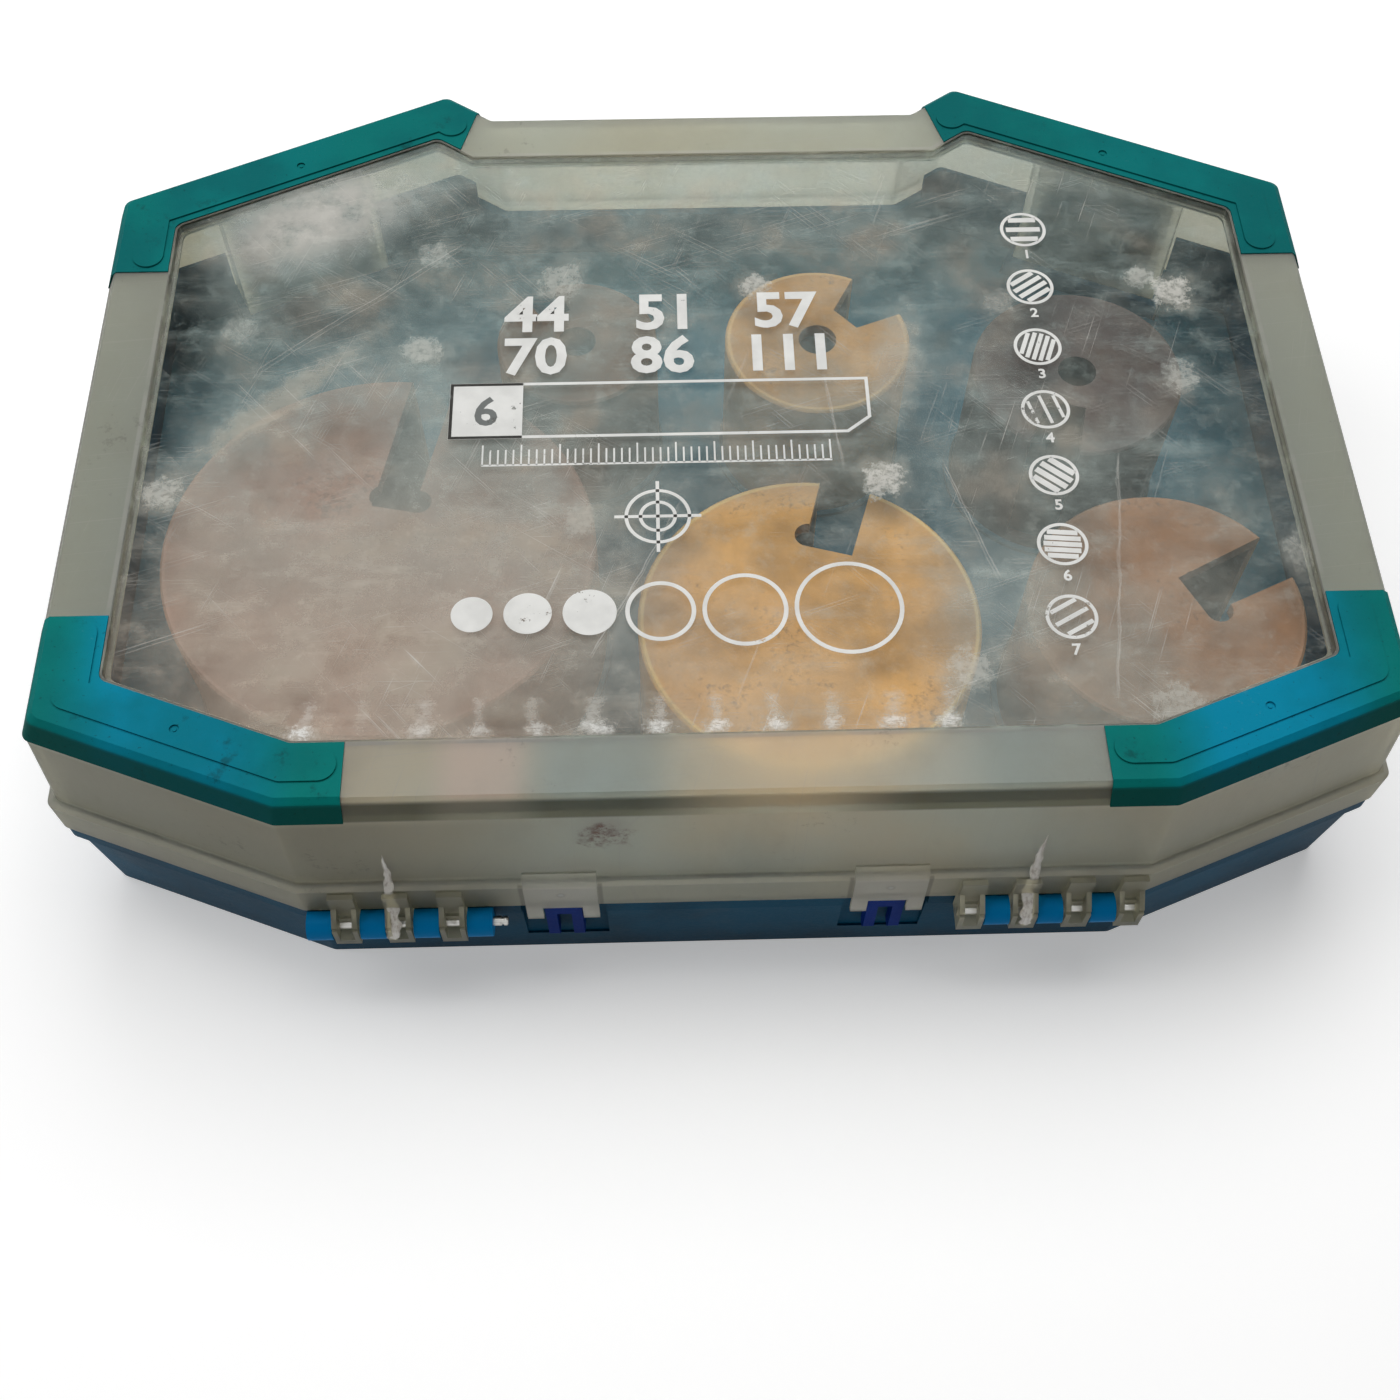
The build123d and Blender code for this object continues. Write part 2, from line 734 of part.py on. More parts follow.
def tooth_angles(size):
    count = 2 * round(size / 18)
    return [k * 360 / count + 12 for k in range(count)]


def saw_teeth(size):
    """Carbide tips, one in each notch of a saw's foot, standing on the pocket floor."""
    x, y = saw_place(size)
    radius = size / 2
    tips = Part()
    for angle in tooth_angles(size):
        tip = span((radius - saw_wall, radius), (-tooth_width / 2, tooth_width / 2),
                   (0, tooth_drop + tooth_length + 1))
        tips += Rot(0, 0, angle) * tip
    return Pos(x, y, saw_foot) * tips


nodes = {
    "base_shell": base_shell(),
    "tray_insert": tray_insert(),
    "hinge_pin_left": hinge_pin(-1),
    "hinge_pin_right": hinge_pin(1),
    "hinge_side_keeper_left": keeper(-1),
    "hinge_side_keeper_right": keeper(1),
    "handle_pin_left": handle_pin(-1),
    "handle_pin_right": handle_pin(1),
    "latch_pin_left": corner_frame(-1) * latch_pin_solid(small_pin_radius, 0),
    "latch_pin_right": corner_frame(1) * latch_pin_solid(small_pin_radius, 0),
    "latch_left": corner_frame(-1) * latch_solid(),
    "latch_right": corner_frame(1) * latch_solid(),
    "carry_handle": carry_handle(),
    "lid_shell": lid_shell(),
    "lid_window": lid_window(),
}
nodes.update(guards())
for size in saws:
    nodes[f"hole_saw_{size}"] = hole_saw(size)
    nodes[f"saw_teeth_{size}"] = saw_teeth(size)

for name, shape in nodes.items():
    export_step(shape, f"parts/{name}.step")
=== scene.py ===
"""Looks of a storage case for hole saws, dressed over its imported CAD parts."""
import math
from functools import reduce

import bpy
import numpy as np
from bpy.props import FloatProperty, FloatVectorProperty, IntProperty, PointerProperty
from mathutils import Matrix, Vector


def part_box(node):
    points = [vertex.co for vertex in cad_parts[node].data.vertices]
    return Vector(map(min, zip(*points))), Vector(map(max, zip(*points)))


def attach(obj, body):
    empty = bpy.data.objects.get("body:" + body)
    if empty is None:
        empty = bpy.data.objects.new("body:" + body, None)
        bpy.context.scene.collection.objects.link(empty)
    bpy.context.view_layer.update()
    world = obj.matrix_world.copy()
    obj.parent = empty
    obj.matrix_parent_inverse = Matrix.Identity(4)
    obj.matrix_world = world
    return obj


bl_info = {
    "name": "Hole saw case",
    "version": (1, 0, 0),
    "blender": (4, 5, 0),
    "location": "View3D > Sidebar > Saw case",
    "description": "Finishes for the parts of a hole saw case",
    "category": "Object",
}

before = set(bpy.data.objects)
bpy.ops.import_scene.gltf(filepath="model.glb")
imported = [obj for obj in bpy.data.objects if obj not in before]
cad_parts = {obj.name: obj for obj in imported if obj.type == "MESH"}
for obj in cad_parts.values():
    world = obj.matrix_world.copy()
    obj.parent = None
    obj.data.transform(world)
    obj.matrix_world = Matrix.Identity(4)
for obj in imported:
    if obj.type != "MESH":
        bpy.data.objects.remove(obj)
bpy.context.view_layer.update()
MM = 0.001
# each saw's size and the 8-bit colour of its paint
SAW_SHADES = {44: (128, 98, 74), 51: (222, 168, 96), 57: (70, 52, 46),
              70: (162, 116, 76), 86: (236, 178, 96), 111: (166, 126, 106)}
SAW_SIZES = tuple(SAW_SHADES)


def box_mm(node):
    """Lowest and highest corner of a CAD node, in millimetres."""
    return [np.array(corner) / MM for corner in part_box(node)]


def middle_mm(node):
    """Middle of a CAD node's box, in millimetres."""
    return sum(box_mm(node)) / 2


# ---- what a user would change
def number(name, description, value, **settings):
    return FloatProperty(name=name, description=description, default=value, **settings)


def length(name, description, millimetres):
    return number(name, description, millimetres * MM, subtype="DISTANCE", unit="LENGTH", min=0)


def share(name, description, value):
    return number(name, description, value, subtype="FACTOR", min=0, max=1)


def angle(name, description, degrees):
    return number(name, description, math.radians(degrees), subtype="ANGLE")


def linear_colour(name, description, value):
    return FloatVectorProperty(name=name, description=description, subtype="COLOR", size=3,
                               min=0, max=1, default=value)


def colour(name, description, *channels):
    """A colour from 8-bit display values: each to the power 2.2, near enough for paint."""
    return linear_colour(name, description, [(channel / 255) ** 2.2 for channel in channels])


class CaseColours(bpy.types.PropertyGroup):
    """Colours of the case's plastics, paints and metals."""

    lid: colour("Lid", "Frosted plastic of the lid", 229, 232, 218)
    lid_warm: colour("Lid, warm patches", "Yellowed patches of the lid", 234, 226, 200)
    lid_dull: colour("Lid, dull sides", "Duller plastic away from the near side", 188, 192, 177)
    # olive painted shade low on the lid's walls, and the colour of its random mottling
    lid_wall: colour("Lid, walls", "Duller olive low on the walls and in the mottling", 164, 160, 134)
    # painted shade on the band round the lid's top edge
    lid_edge: colour("Lid, edge", "Dark band round the lid's top edge", 92, 92, 70)
    # painted glow of the pink saw seen through the near border
    lid_pink: colour("Lid, pink patch", "Pinkish patch on the near border", 255, 236, 220)
    # also the painted grey shade on the lid's near border
    window_haze: colour("Window haze", "Fine wear of the window", 182, 201, 196)
    # haze colour near the hinges, warmer as a painted sheen of the lamps
    window_warm: colour("Window haze, near side", "Warmer wear near the hinges", 214, 194, 174)
    window_brown: colour("Window dirt", "Thin brown dirt on the window", 156, 138, 120)
    smudge: colour("Smudge", "Chalky marks on the window", 216, 214, 206)
    beige: colour("Beige dust", "Dust round the chalky marks", 198, 188, 170)
    # also the painted shade in the corner at the wall's foot
    grime: colour("Grime", "Brown dirt in seams", 74, 62, 48)
    rust: colour("Rust smear", "Rusty smear on the near side", 104, 48, 14)
    # also whitens the tabs and gives the painted highlight on the ledge top
    crack: colour("Crack", "Whitened plastic along a crack", 242, 238, 230)
    crack_shade: colour("Crack, hollows", "Dirtier hollows of a crack", 186, 176, 164)
    guard: colour("Guard", "Soft corner guards", 0, 120, 114)
    guard_blue: colour("Guard, blue patches", "Bluer patches of the guards", 0, 136, 168)
    guard_dark: colour("Guard, dark patches", "Duller patches of the guards", 4, 88, 92)
    # painted shade on the guards' outer faces
    guard_side: colour("Guard, sides", "Darker outer faces of the guards", 0, 72, 66)
    guard_rubbed: colour("Guard, rubbed", "Rubbed patches of the guards", 104, 160, 160)
    guard_dirt: colour("Guard, dirt", "Dirt on the guards", 20, 52, 52)
    base: colour("Base", "Moulded base", 0, 78, 106)
    base_dark: colour("Base, dark patches", "Duller patches of the base", 0, 60, 82)
    base_scuffed: colour("Base, scuffed", "Scuffs on the base", 70, 120, 140)
    knuckle: colour("Base knuckles", "Cleaner plastic of the base's knuckles", 0, 132, 198)
    dust: colour("Dust", "Dust on the base and its fittings", 120, 114, 102)
    tray: colour("Tray", "Insert that holds the saws", 12, 96, 118)
    keeper: colour("Keeper", "Keepers beside the hinges", 0, 54, 140)
    latch: colour("Latch", "Latches and handle", 6, 96, 142)
    steel: colour("Steel", "Pins", 190, 190, 186)
    carbide: colour("Carbide", "Saw tips", 120, 120, 124)
    # also the painted glints of the lamps beside the window's near seam
    print_white: colour("Print", "White print on the window", 236, 236, 232)
    print_grey: colour("Print, grey", "Grey print over the white", 96, 100, 98)
    metal_rust: colour("Rust on metal", "Rust spots on pins and tips", 96, 76, 58)
    saw_rubbed: colour("Saws, rubbed", "Dark rubbed patches of the saws", 66, 48, 36)
    saw_dust: colour("Saws, dust", "Dust on the saws' backs", 128, 116, 98)
    saw_chip: colour("Saws, chips", "Pale chips in the saws' paint", 176, 164, 146)
    for size, channels in SAW_SHADES.items():
        __annotations__[f"saw_{size}"] = colour(f"Saw {size}", f"Paint of the {size} mm saw", *channels)
    del size, channels


class CaseSizes(bpy.types.PropertyGroup):
    """Sizes of the print, the marks and the painted glints, and how clear the lid is."""

    print_line: length("Print line", "Width of the printed lines", 0.9)
    print_depth: length("Print depth", "Thickness of the print", 0.05)
    digit_height: length("Digit height", "Height of the large printed numbers", 12.5)
    ring_radius: length("Ring radius", "Outer radius of each printed ring", 6.0)
    ring_count: IntProperty(name="Rings", description="Rings in the column", min=1, max=9, default=7)
    # spacing of the painted glints of the lamps beside the near seam
    knock_pitch: length("Knock pitch", "Distance between the knocks beside the near seam", 13.8)
    crack_width: length("Crack width", "Width of a crack's torn edge at its foot", 3.3)
    window_haze: share("Window haze", "How much the haze hides in the middle of the window", 0.24)
    lid_clearness: share("Lid clearness", "How much shows through the frosted lid", 0.84)


class StageSetup(bpy.types.PropertyGroup):
    """Camera, floor and lights."""

    lens: number("Lens", "Focal length on a 36 mm sensor", 44.39, subtype="DISTANCE_CAMERA")
    yaw: angle("Yaw", "Turn of the view to the right", 1.96)
    pitch: angle("Pitch", "Tilt of the view below the horizon", 59.97)
    roll: angle("Roll", "Roll of the view", 0.49)
    camera_place: FloatVectorProperty(name="Camera place", description="Camera position",
                                      subtype="TRANSLATION", default=(-0.0128, -0.2963, 0.43905))
    floor_colour: linear_colour("Floor", "Plain pale floor", (0.86, 0.86, 0.86))
    floor_reach: number("Floor reach", "Where the floor has faded out", 1.3,
                        subtype="DISTANCE", unit="LENGTH", min=0.3)
    floor_glow: number("Floor glow", "What the floor adds to its lit colour", 0.36, min=0)
    sky_strength: number("Room light", "Strength of the light from all round", 0.08, min=0)
    lamp_power: number("Lamp power", "Power of the overhead soft box", 17.5, subtype="POWER")


# ---- shader graph helpers
class Wire:
    """A shader value. Arithmetic on it adds Math nodes to its material."""

    def __init__(self, paint, socket):
        self.paint = paint
        self.socket = socket

    def __add__(self, other):
        return self.paint.math("ADD", self, other)

    __radd__ = __add__

    def __sub__(self, other):
        return self.paint.math("SUBTRACT", self, other)

    def __rsub__(self, other):
        return self.paint.math("SUBTRACT", other, self)

    def __mul__(self, other):
        return self.paint.math("MULTIPLY", self, other)

    __rmul__ = __mul__

    def __truediv__(self, other):
        return self.paint.math("DIVIDE", self, other)

    def __abs__(self):
        return self.paint.math("ABSOLUTE", self)

    def least(self, other):
        return self.paint.math("MINIMUM", self, other)

    def most(self, other):
        return self.paint.math("MAXIMUM", self, other)

    def ramp(self, low, high):
        """0 at low, 1 at high, eased between, held beyond; low may be the larger."""
        return self.paint.node("MapRange", {"interpolation_type": "SMOOTHSTEP"},
                               {"Value": self, "From Min": low, "From Max": high})


def highest(wires):
    """The greatest of several shader values."""
    return reduce(Wire.most, wires)


class Paint:
    """A procedural material under construction. Its places are object coordinates in millimetres."""

    def __init__(self, name):
        self.material = bpy.data.materials.new(name)
        self.material.use_nodes = True
        self.tree = self.material.node_tree
        self.shader = self.tree.nodes["Principled BSDF"]
        self.shade = None
        spot = self.node("TexCoord", out="Object")
        self.place = self.node("VectorMath", {"operation": "SCALE"}, {"Vector": spot, "Scale": 1 / MM})
        self.x, self.y, self.z = self.split(self.place)

    def node(self, kind, settings=None, inputs=None, out=0):
        """Adds one node: settings first, then the values or links of its sockets."""
        made = self.tree.nodes.new("ShaderNode" + kind)
        for key, value in (settings or {}).items():
            setattr(made, key, value)
        for key, value in (inputs or {}).items():
            self.feed(made.inputs[key], value)
        return Wire(self, made.outputs[out])

    def feed(self, socket, value):
        if isinstance(value, Wire):
            self.tree.links.new(value.socket, socket)
        elif socket.type == "RGBA" and len(value) == 3:
            socket.default_value = (*value, 1)
        else:
            socket.default_value = value

    def math(self, operation, *values):
        return self.node("Math", {"operation": operation}, dict(enumerate(values)))

    def split(self, vector):
        x = self.node("SeparateXYZ", inputs={"Vector": vector})
        return x, Wire(self, x.socket.node.outputs[1]), Wire(self, x.socket.node.outputs[2])

    def blend(self, mask, first, second):
        """Colour first where the mask is 0, second where it is 1."""
        return self.node("Mix", {"data_type": "RGBA"}, {0: mask, 6: first, 7: second}, out=2)

    def lay(self, mask, colour):
        """Lays a colour over the shade so far, where the mask is 1."""
        self.shade = self.blend(mask, self.shade, colour)

    def pattern(self, size, centre=(0, 0, 0), turn=0.0):
        """Coordinates that give a pattern's features a size, about a centre, turned about Z."""
        return self.node("Mapping", {"vector_type": "TEXTURE"},
                         {"Vector": self.place, "Location": centre, "Rotation": (0, 0, turn),
                          "Scale": size})

    def noise(self, size, detail=3.0, rough=0.55, **where):
        """Cloudy values about 0.5; size is the cloud's size in millimetres, one number or three."""
        if isinstance(size, (int, float)):
            size = (size, size, size)
        return self.node("TexNoise", inputs={"Vector": self.pattern(size, **where), "Scale": 1.0,
                                             "Detail": detail, "Roughness": rough})

    def length(self, vector):
        """Distance of a place from the origin of its coordinates."""
        return self.node("VectorMath", {"operation": "LENGTH"}, {"Vector": vector}, out="Value")

    def broken(self, away, ragged, grain, rough):
        """A distance made ragged by noise."""
        return away + (self.noise(grain, detail=5, rough=rough) - 0.5) * (2 * ragged)

    def blot(self, centre, radius, ragged=0.9, grain=6.0, rough=0.55, tall=4.0):
        """1 near a centre, fading to 0 at a ragged edge about one radius away."""
        away = self.length(self.pattern((radius, radius, radius * tall), centre=centre))
        return self.broken(away, ragged, grain, rough).ramp(1.0, 0.25)

    def streak(self, start, end, width, ragged=0.7, grain=5.0):
        """1 along a line on the window, fading to 0 at a ragged edge: an oval over the line."""
        run = math.dist(start, end) / 2
        turn = math.atan2(end[1] - start[1], end[0] - start[0])
        middle = ((start[0] + end[0]) / 2, (start[1] + end[1]) / 2, WINDOW_TOP)
        away = self.length(self.pattern((run, width / 2, THROUGH), centre=middle, turn=turn))
        return self.broken(away, ragged, grain, 0.7).ramp(1.15, 0.35)

    def stripe(self, x, reach, core):
        """1 as near to a place along X as core, fading to 0 at reach."""
        return abs(self.x - x).ramp(reach, core)

    def scratches(self, spacing, run, turn, keep, seed=0.0):
        """Fine parallel scratches: noise drawn out along one direction, kept only above a level."""
        fine = self.noise((run, spacing, 10 * THROUGH), detail=2.0, rough=0.7, turn=turn,
                          centre=(seed, seed, 0))
        return fine.ramp(keep, keep + 0.05)

    def finish(self, roughness, relief=None, relief_depth=0.1, shine=0.5, **others):
        """Feeds the shader; relief_depth is in millimetres, the others go on the sockets they name."""
        others["Specular_IOR_Level"] = shine
        self.feed(self.shader.inputs["Base Color"], self.shade)
        self.feed(self.shader.inputs["Roughness"], roughness)
        if relief is not None:
            heights = {"Strength": 1.0, "Distance": relief_depth * MM, "Height": relief}
            self.feed(self.shader.inputs["Normal"], self.node("Bump", inputs=heights))
        for key, value in others.items():
            self.feed(self.shader.inputs[key.replace("_", " ")], value)
        return self.material


def scaled(shade, factor, lift=0.0):
    """A colour with each channel scaled and lifted."""
    return tuple(min(1.0, channel * factor + lift) for channel in shade)


def dress(material, *names):
    """Gives CAD nodes a material."""
    for name in names:
        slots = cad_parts[name].data.materials
        slots.clear()
        slots.append(material)


# ---- mesh helpers
def add_object(name, data):
    """A new object of the scene."""
    thing = bpy.data.objects.new(name, data)
    bpy.context.scene.collection.objects.link(thing)
    return thing


def piece(name, points, faces, material, body, slot):
    """A mesh object from an array of points and lists of corner numbers, riding on a body."""
    mesh = bpy.data.meshes.new(name)
    mesh.from_pydata(points.reshape(-1, 3), [], faces)
    mesh.materials.append(material)
    thing = add_object(name, mesh)
    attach(thing, body)


def tube_faces(rings, around, closed=False):
    """Corner numbers of the quads between rings of points; closed joins the last to the first."""
    i, j = np.meshgrid(np.arange(rings if closed else rings - 1), np.arange(around), indexing="ij")
    ring, next_ring = i * around, (i + 1) % rings * around
    after = (j + 1) % around
    corners = (ring + j, next_ring + j, next_ring + after, ring + after)
    return np.stack(corners, -1).reshape(-1, 4).tolist()


def line_print(path, width, top, depth):
    """A flat printed line: a rectangle, width by depth, carried along a closed path at height top."""
    path = np.asarray(path, float)
    ahead = np.roll(path, -1, 0) - path
    ahead /= np.linalg.norm(ahead, axis=1, keepdims=True)
    behind = np.roll(ahead, 1, 0)
    side = np.stack((ahead[:, 1] + behind[:, 1], -ahead[:, 0] - behind[:, 0]), -1)
    side /= (1 + (ahead * behind).sum(1, keepdims=True))
    half = width / 2
    offsets = np.array([-half, half, half, -half])
    heights = np.array([top, top, top - depth, top - depth])
    flat = path[:, None, :] + side[:, None, :] * offsets[None, :, None]
    tall = np.broadcast_to(heights[None, :, None], (*flat.shape[:2], 1))
    points = np.concatenate((flat, tall), -1)
    return points, tube_faces(len(path), 4, closed=True)


def patch_print(outline, top, depth):
    """A flat printed patch: a convex outline, anticlockwise from above, given its thickness."""
    outline = np.asarray(outline, float)
    count = len(outline)
    upper = np.concatenate((outline, np.full((count, 1), top)), 1)
    lower = np.concatenate((outline, np.full((count, 1), top - depth)), 1)
    around = np.arange(count)
    after = (around + 1) % count
    sides = np.stack((around + count, after + count, after, around), -1).tolist()
    return np.concatenate((upper, lower)), [around.tolist(), (around[::-1] + count).tolist()] + sides


def bar_print(start, end, width, top, depth):
    """A flat printed bar from start to end."""
    start, end = np.asarray(start, float), np.asarray(end, float)
    along = (end - start) / np.linalg.norm(end - start)
    side = np.array([-along[1], along[0]]) * width / 2
    return patch_print((start - side, end - side, end + side, start + side), top, depth)


def circle(centre, radius, count=48):
    """Points round a circle, anticlockwise."""
    turns = np.linspace(0, 2 * math.pi, count, endpoint=False)
    return np.asarray(centre) + radius * np.stack((np.cos(turns), np.sin(turns)), -1)


def number_print(text, height, centre, top, depth, weight):
    """A plain number as a thin solid: the built-in font, thickened by weight, about a centre."""
    curve = bpy.data.curves.new("numbers", "FONT")
    curve.body = text
    curve.size = height / DIGIT_SHARE
    curve.offset = weight
    curve.extrude = depth / 2
    curve.resolution_u = 3
    shape = bpy.data.objects.new("numbers", curve)
    mesh = bpy.data.meshes.new_from_object(shape)
    points = np.empty(len(mesh.vertices) * 3)
    mesh.vertices.foreach_get("co", points)
    points = points.reshape(-1, 3)
    faces = [list(polygon.vertices) for polygon in mesh.polygons]
    bpy.data.objects.remove(shape)
    bpy.data.curves.remove(curve)
    bpy.data.meshes.remove(mesh)
    middle = (points.min(0) + points.max(0)) / 2
    return points - middle + (*centre, top - depth / 2), faces


def joined(parts):
    """One array of points and one list of faces from several."""
    points, faces, start = [], [], 0
    for some_points, some_faces in parts:
        flat = some_points.reshape(-1, 3)
        points.append(flat)
        faces.extend([start + corner for corner in face] for face in some_faces)
        start += len(flat)
    return np.concatenate(points), faces


# ---- places on the case, in millimetres
# the lid's top outline: its edges and the corners between them, for the right half
HINGE_EDGE = -115.85
SIDE_EDGE = 163.6
HANDLE_TIP = 115.85
NOTCH_EDGE = 106.25
HINGE_CORNER = (104.5, HINGE_EDGE)
SIDE_CORNER = (SIDE_EDGE, HINGE_EDGE + 23.1)
LATCH_CORNER = (SIDE_EDGE, 75.35)
HANDLE_CORNER = (75.5, HANDLE_TIP)
NOTCH_CORNER = (61.9, NOTCH_EDGE)
# how far inside that outline the window's seam is, and how far outside it the walls below stand
WINDOW_INSET = 15.3
SKIRT_OUT = 7.0
WALL_OUT = 5.0
BAND_OUT = 3.2
# how far the lid's knuckles stand out from its skirt, and the y beyond which the base's are bright
KNUCKLE_OUT = 5.5
KNUCKLE_BACK = HINGE_EDGE - 6.6
# heights
LEDGE_HEIGHT = 49.4
BAND_FOOT = box_mm("corner_guard_hinge_left")[0][2]
WINDOW_TOP = box_mm("lid_window")[1][2]
SAW_TOP = box_mm("hole_saw_44")[1][2]
HINGE_HEIGHT = middle_mm("hinge_pin_left")[2]
# x and y of each saw, and how strong the painted highlight on its rim is
SAW_PLACES = {size: middle_mm(f"hole_saw_{size}")[:2] for size in SAW_SIZES}
RIM_HIGHLIGHT = {51: 0.5, 86: 0.55}
PLAIN_RIM_HIGHLIGHT = 0.12
# x of the guards' blue patches; the tabs beside the hinges: x, half width, y and height of a dot
DIAGONAL_X = 130.0
TAB_X = middle_mm("hinge_side_keeper_right")[0]
TAB_HALF = 9.5
TAB_DOT = (HINGE_EDGE - SKIRT_OUT - 0.7, 44.5)
# stripes across the near side of the lid: x, and how far from it they fade out and are full
# painted grey shade on the near border
GREY_SHADE_STRIPES = ((-30.0, 22.0, 8.0), (76.0, 26.0, 10.0))
# painted pink glow of the saw behind the near border
PINK_GLOW_STRIPE = (-57.0, 14.0, 5.0)
# where the painted shade on the lid's top band is left lighter
LIT_STRIPE = (12.0, 34.0, 4.0)
FAINT_LIT_STRIPE = (-57.0, 16.0, 4.0)
RUST_SMEAR = (-29.0, HINGE_EDGE - 4.0, 70.0)
# name, x at the foot, x at the head and height of the head of each crack
CRACKS = (("crack_left", -83.4, -82.6, 63.0), ("crack_right", 75.4, 77.0, 66.0))
# heights where a crack starts, leaves the knuckle and reaches the skirt
CRACK_BENDS = (30.4, 36.0, 42.4)
# depth of a pattern that doesn't change with height
THROUGH = 40.0
# on the window: x, y, radius and strength; a clear spot with a negative strength is hazier
CHALK_MARKS = ((43.2, -26.9, 7.0, 1.0), (127.7, 35.8, 7.5, 1.0), (119.5, 42.0, 5.0, 0.6),
               (125.1, 5.5, 6.5, 0.6), (-40.8, 43.3, 8.0, 0.5), (-75.7, 53.5, 6.0, 0.4),
               (12.9, 41.0, 5.5, 0.8), (-78.0, 18.9, 7.0, 0.5), (-141.7, -26.3, 7.0, 0.6),
               (145.5, -51.8, 7.0, 0.35), (59.2, -84.2, 7.5, 0.5), (108.1, -94.8, 8.0, 0.5),
               (-34.7, -38.3, 6.0, 0.3), (-126.8, 28.0, 7.0, 0.25), (79.9, 33.2, 6.0, 0.3))
CLEAR_SPOTS = ((104.0, 20.0, 44.0, 0.45), (22.4, -60.0, 52.0, 0.5), (29.9, 32.0, 30.0, 0.3),
               (100.9, -46.0, 24.0, 0.4), (-98.9, -20.9, 26.0, 0.65), (68.7, -64.9, 22.0, -0.7),
               (135.9, -36.0, 22.0, -0.6))
# thicker haze toward the near left, partly a painted sheen of the lamps
HAZE_AND_SHEEN_PLACE = (-86.5, -52.0)
HAZE_AND_SHEEN_RADIUS = 84.0
# from, to and width
LONG_SMEARS = (((-138.6, -20.7), (-87.5, 28.3), 11.0), ((-131.9, -12.4), (-101.7, 4.2), 3.0),
               ((54.0, 34.0), (46.0, -10.0), 15.0))
MILKY_CORNER = ((-142.0, 52.0), (-76.0, 86.0), 40.0)
# spacing, length, turn, level above which they are kept, and seed
SCRATCH_FAMILIES = ((0.5, 60, 0.35, 0.66, 0), (0.45, 45, 1.2, 0.67, 31), (0.4, 80, -0.6, 0.68, 57),
                    (0.5, 40, 2.3, 0.67, 83), (0.35, 25, 0.0, 0.67, 91))
# x, lowest y, highest y and lean
LONG_SCRATCHES = ((99.5, -94.0, -18.0, 0.15), (31.5, -24.0, 10.0, -0.12), (-20.0, -80.0, -30.0, 0.5),
                  (-95.0, 10.0, 60.0, 1.2), (64.0, -60.0, -20.0, -0.3))
# painted glints of the lamps: first x, last x and y of the row;
# each fan of a glint: how far back, half width, depth and strength
GLINT_ROW = (-98.9, 52.8, -97.2)
GLINT_FANS = ((-1.0, 4.4, 3.0, 1.0), (6.4, 3.0, 1.8, 0.4), (2.5, 2.4, 7.0, 0.4))
# the print: two rows of numbers, the framed bar, the scale, the target, the growing rings, the column
DIGIT_SHARE = 0.73
NUMBER_COLUMNS = (-47.0, -13.0, 21.0)
NUMBER_ROWS = (31.0, 16.0)
BAR_LOW = (-68.8, -11.3)
BAR_HIGH = (41.0, 6.4)
BAR_CUT = (6.0, 4.8)
BLOCK_END = -50.0
BLOCK_OVERLAP = 0.4
COUNT_PLACE = (-59.6, -2.6)
COUNT_HEIGHT = 9.5
SCALE_START = (-60.0, -20.5)
SCALE_STEP = 2.0
SCALE_STROKES = 46
TARGET_PLACE = (-15.0, -37.5)
TARGET_RADII = (8.0, 4.4)
TARGET_REACH = 11.0
GROWING_START = (-66.0, -66.0)
GROWING_SHARE = 8.6
GROWING_GAP = 2.6
COLUMN_TOP = (89.3, 59.5)
COLUMN_STEP = (-0.6, -21.6)
# name, place in metres, size and share of the lamp power
SOFT_BOXES = (("soft box above", (0.1, 0.55, 1.5), 1.3, 1.0),
              ("soft box behind", (-0.7, 0.1, 1.1), 0.7, 0.25))
LIGHT_AIM = (0.0, 0.0, 0.05)


def outline_distance(paint):
    """Distance outside the lid's top outline: the greatest of the distances past its straight sides."""
    side_x = abs(paint.x)

    def past(start, end):
        run = np.subtract(end, start)
        normal = np.array([run[1], -run[0]]) / np.linalg.norm(run)
        return side_x * normal[0] + paint.y * normal[1] - float(normal @ start)

    hinge_side = (HINGE_EDGE - paint.y).most(past(HINGE_CORNER, SIDE_CORNER))
    latch_side = (side_x - SIDE_EDGE).most(past(LATCH_CORNER, HANDLE_CORNER))
    notch = (paint.y - NOTCH_EDGE).least(past(HANDLE_CORNER, NOTCH_CORNER))
    return hinge_side.most(latch_side).most(notch)


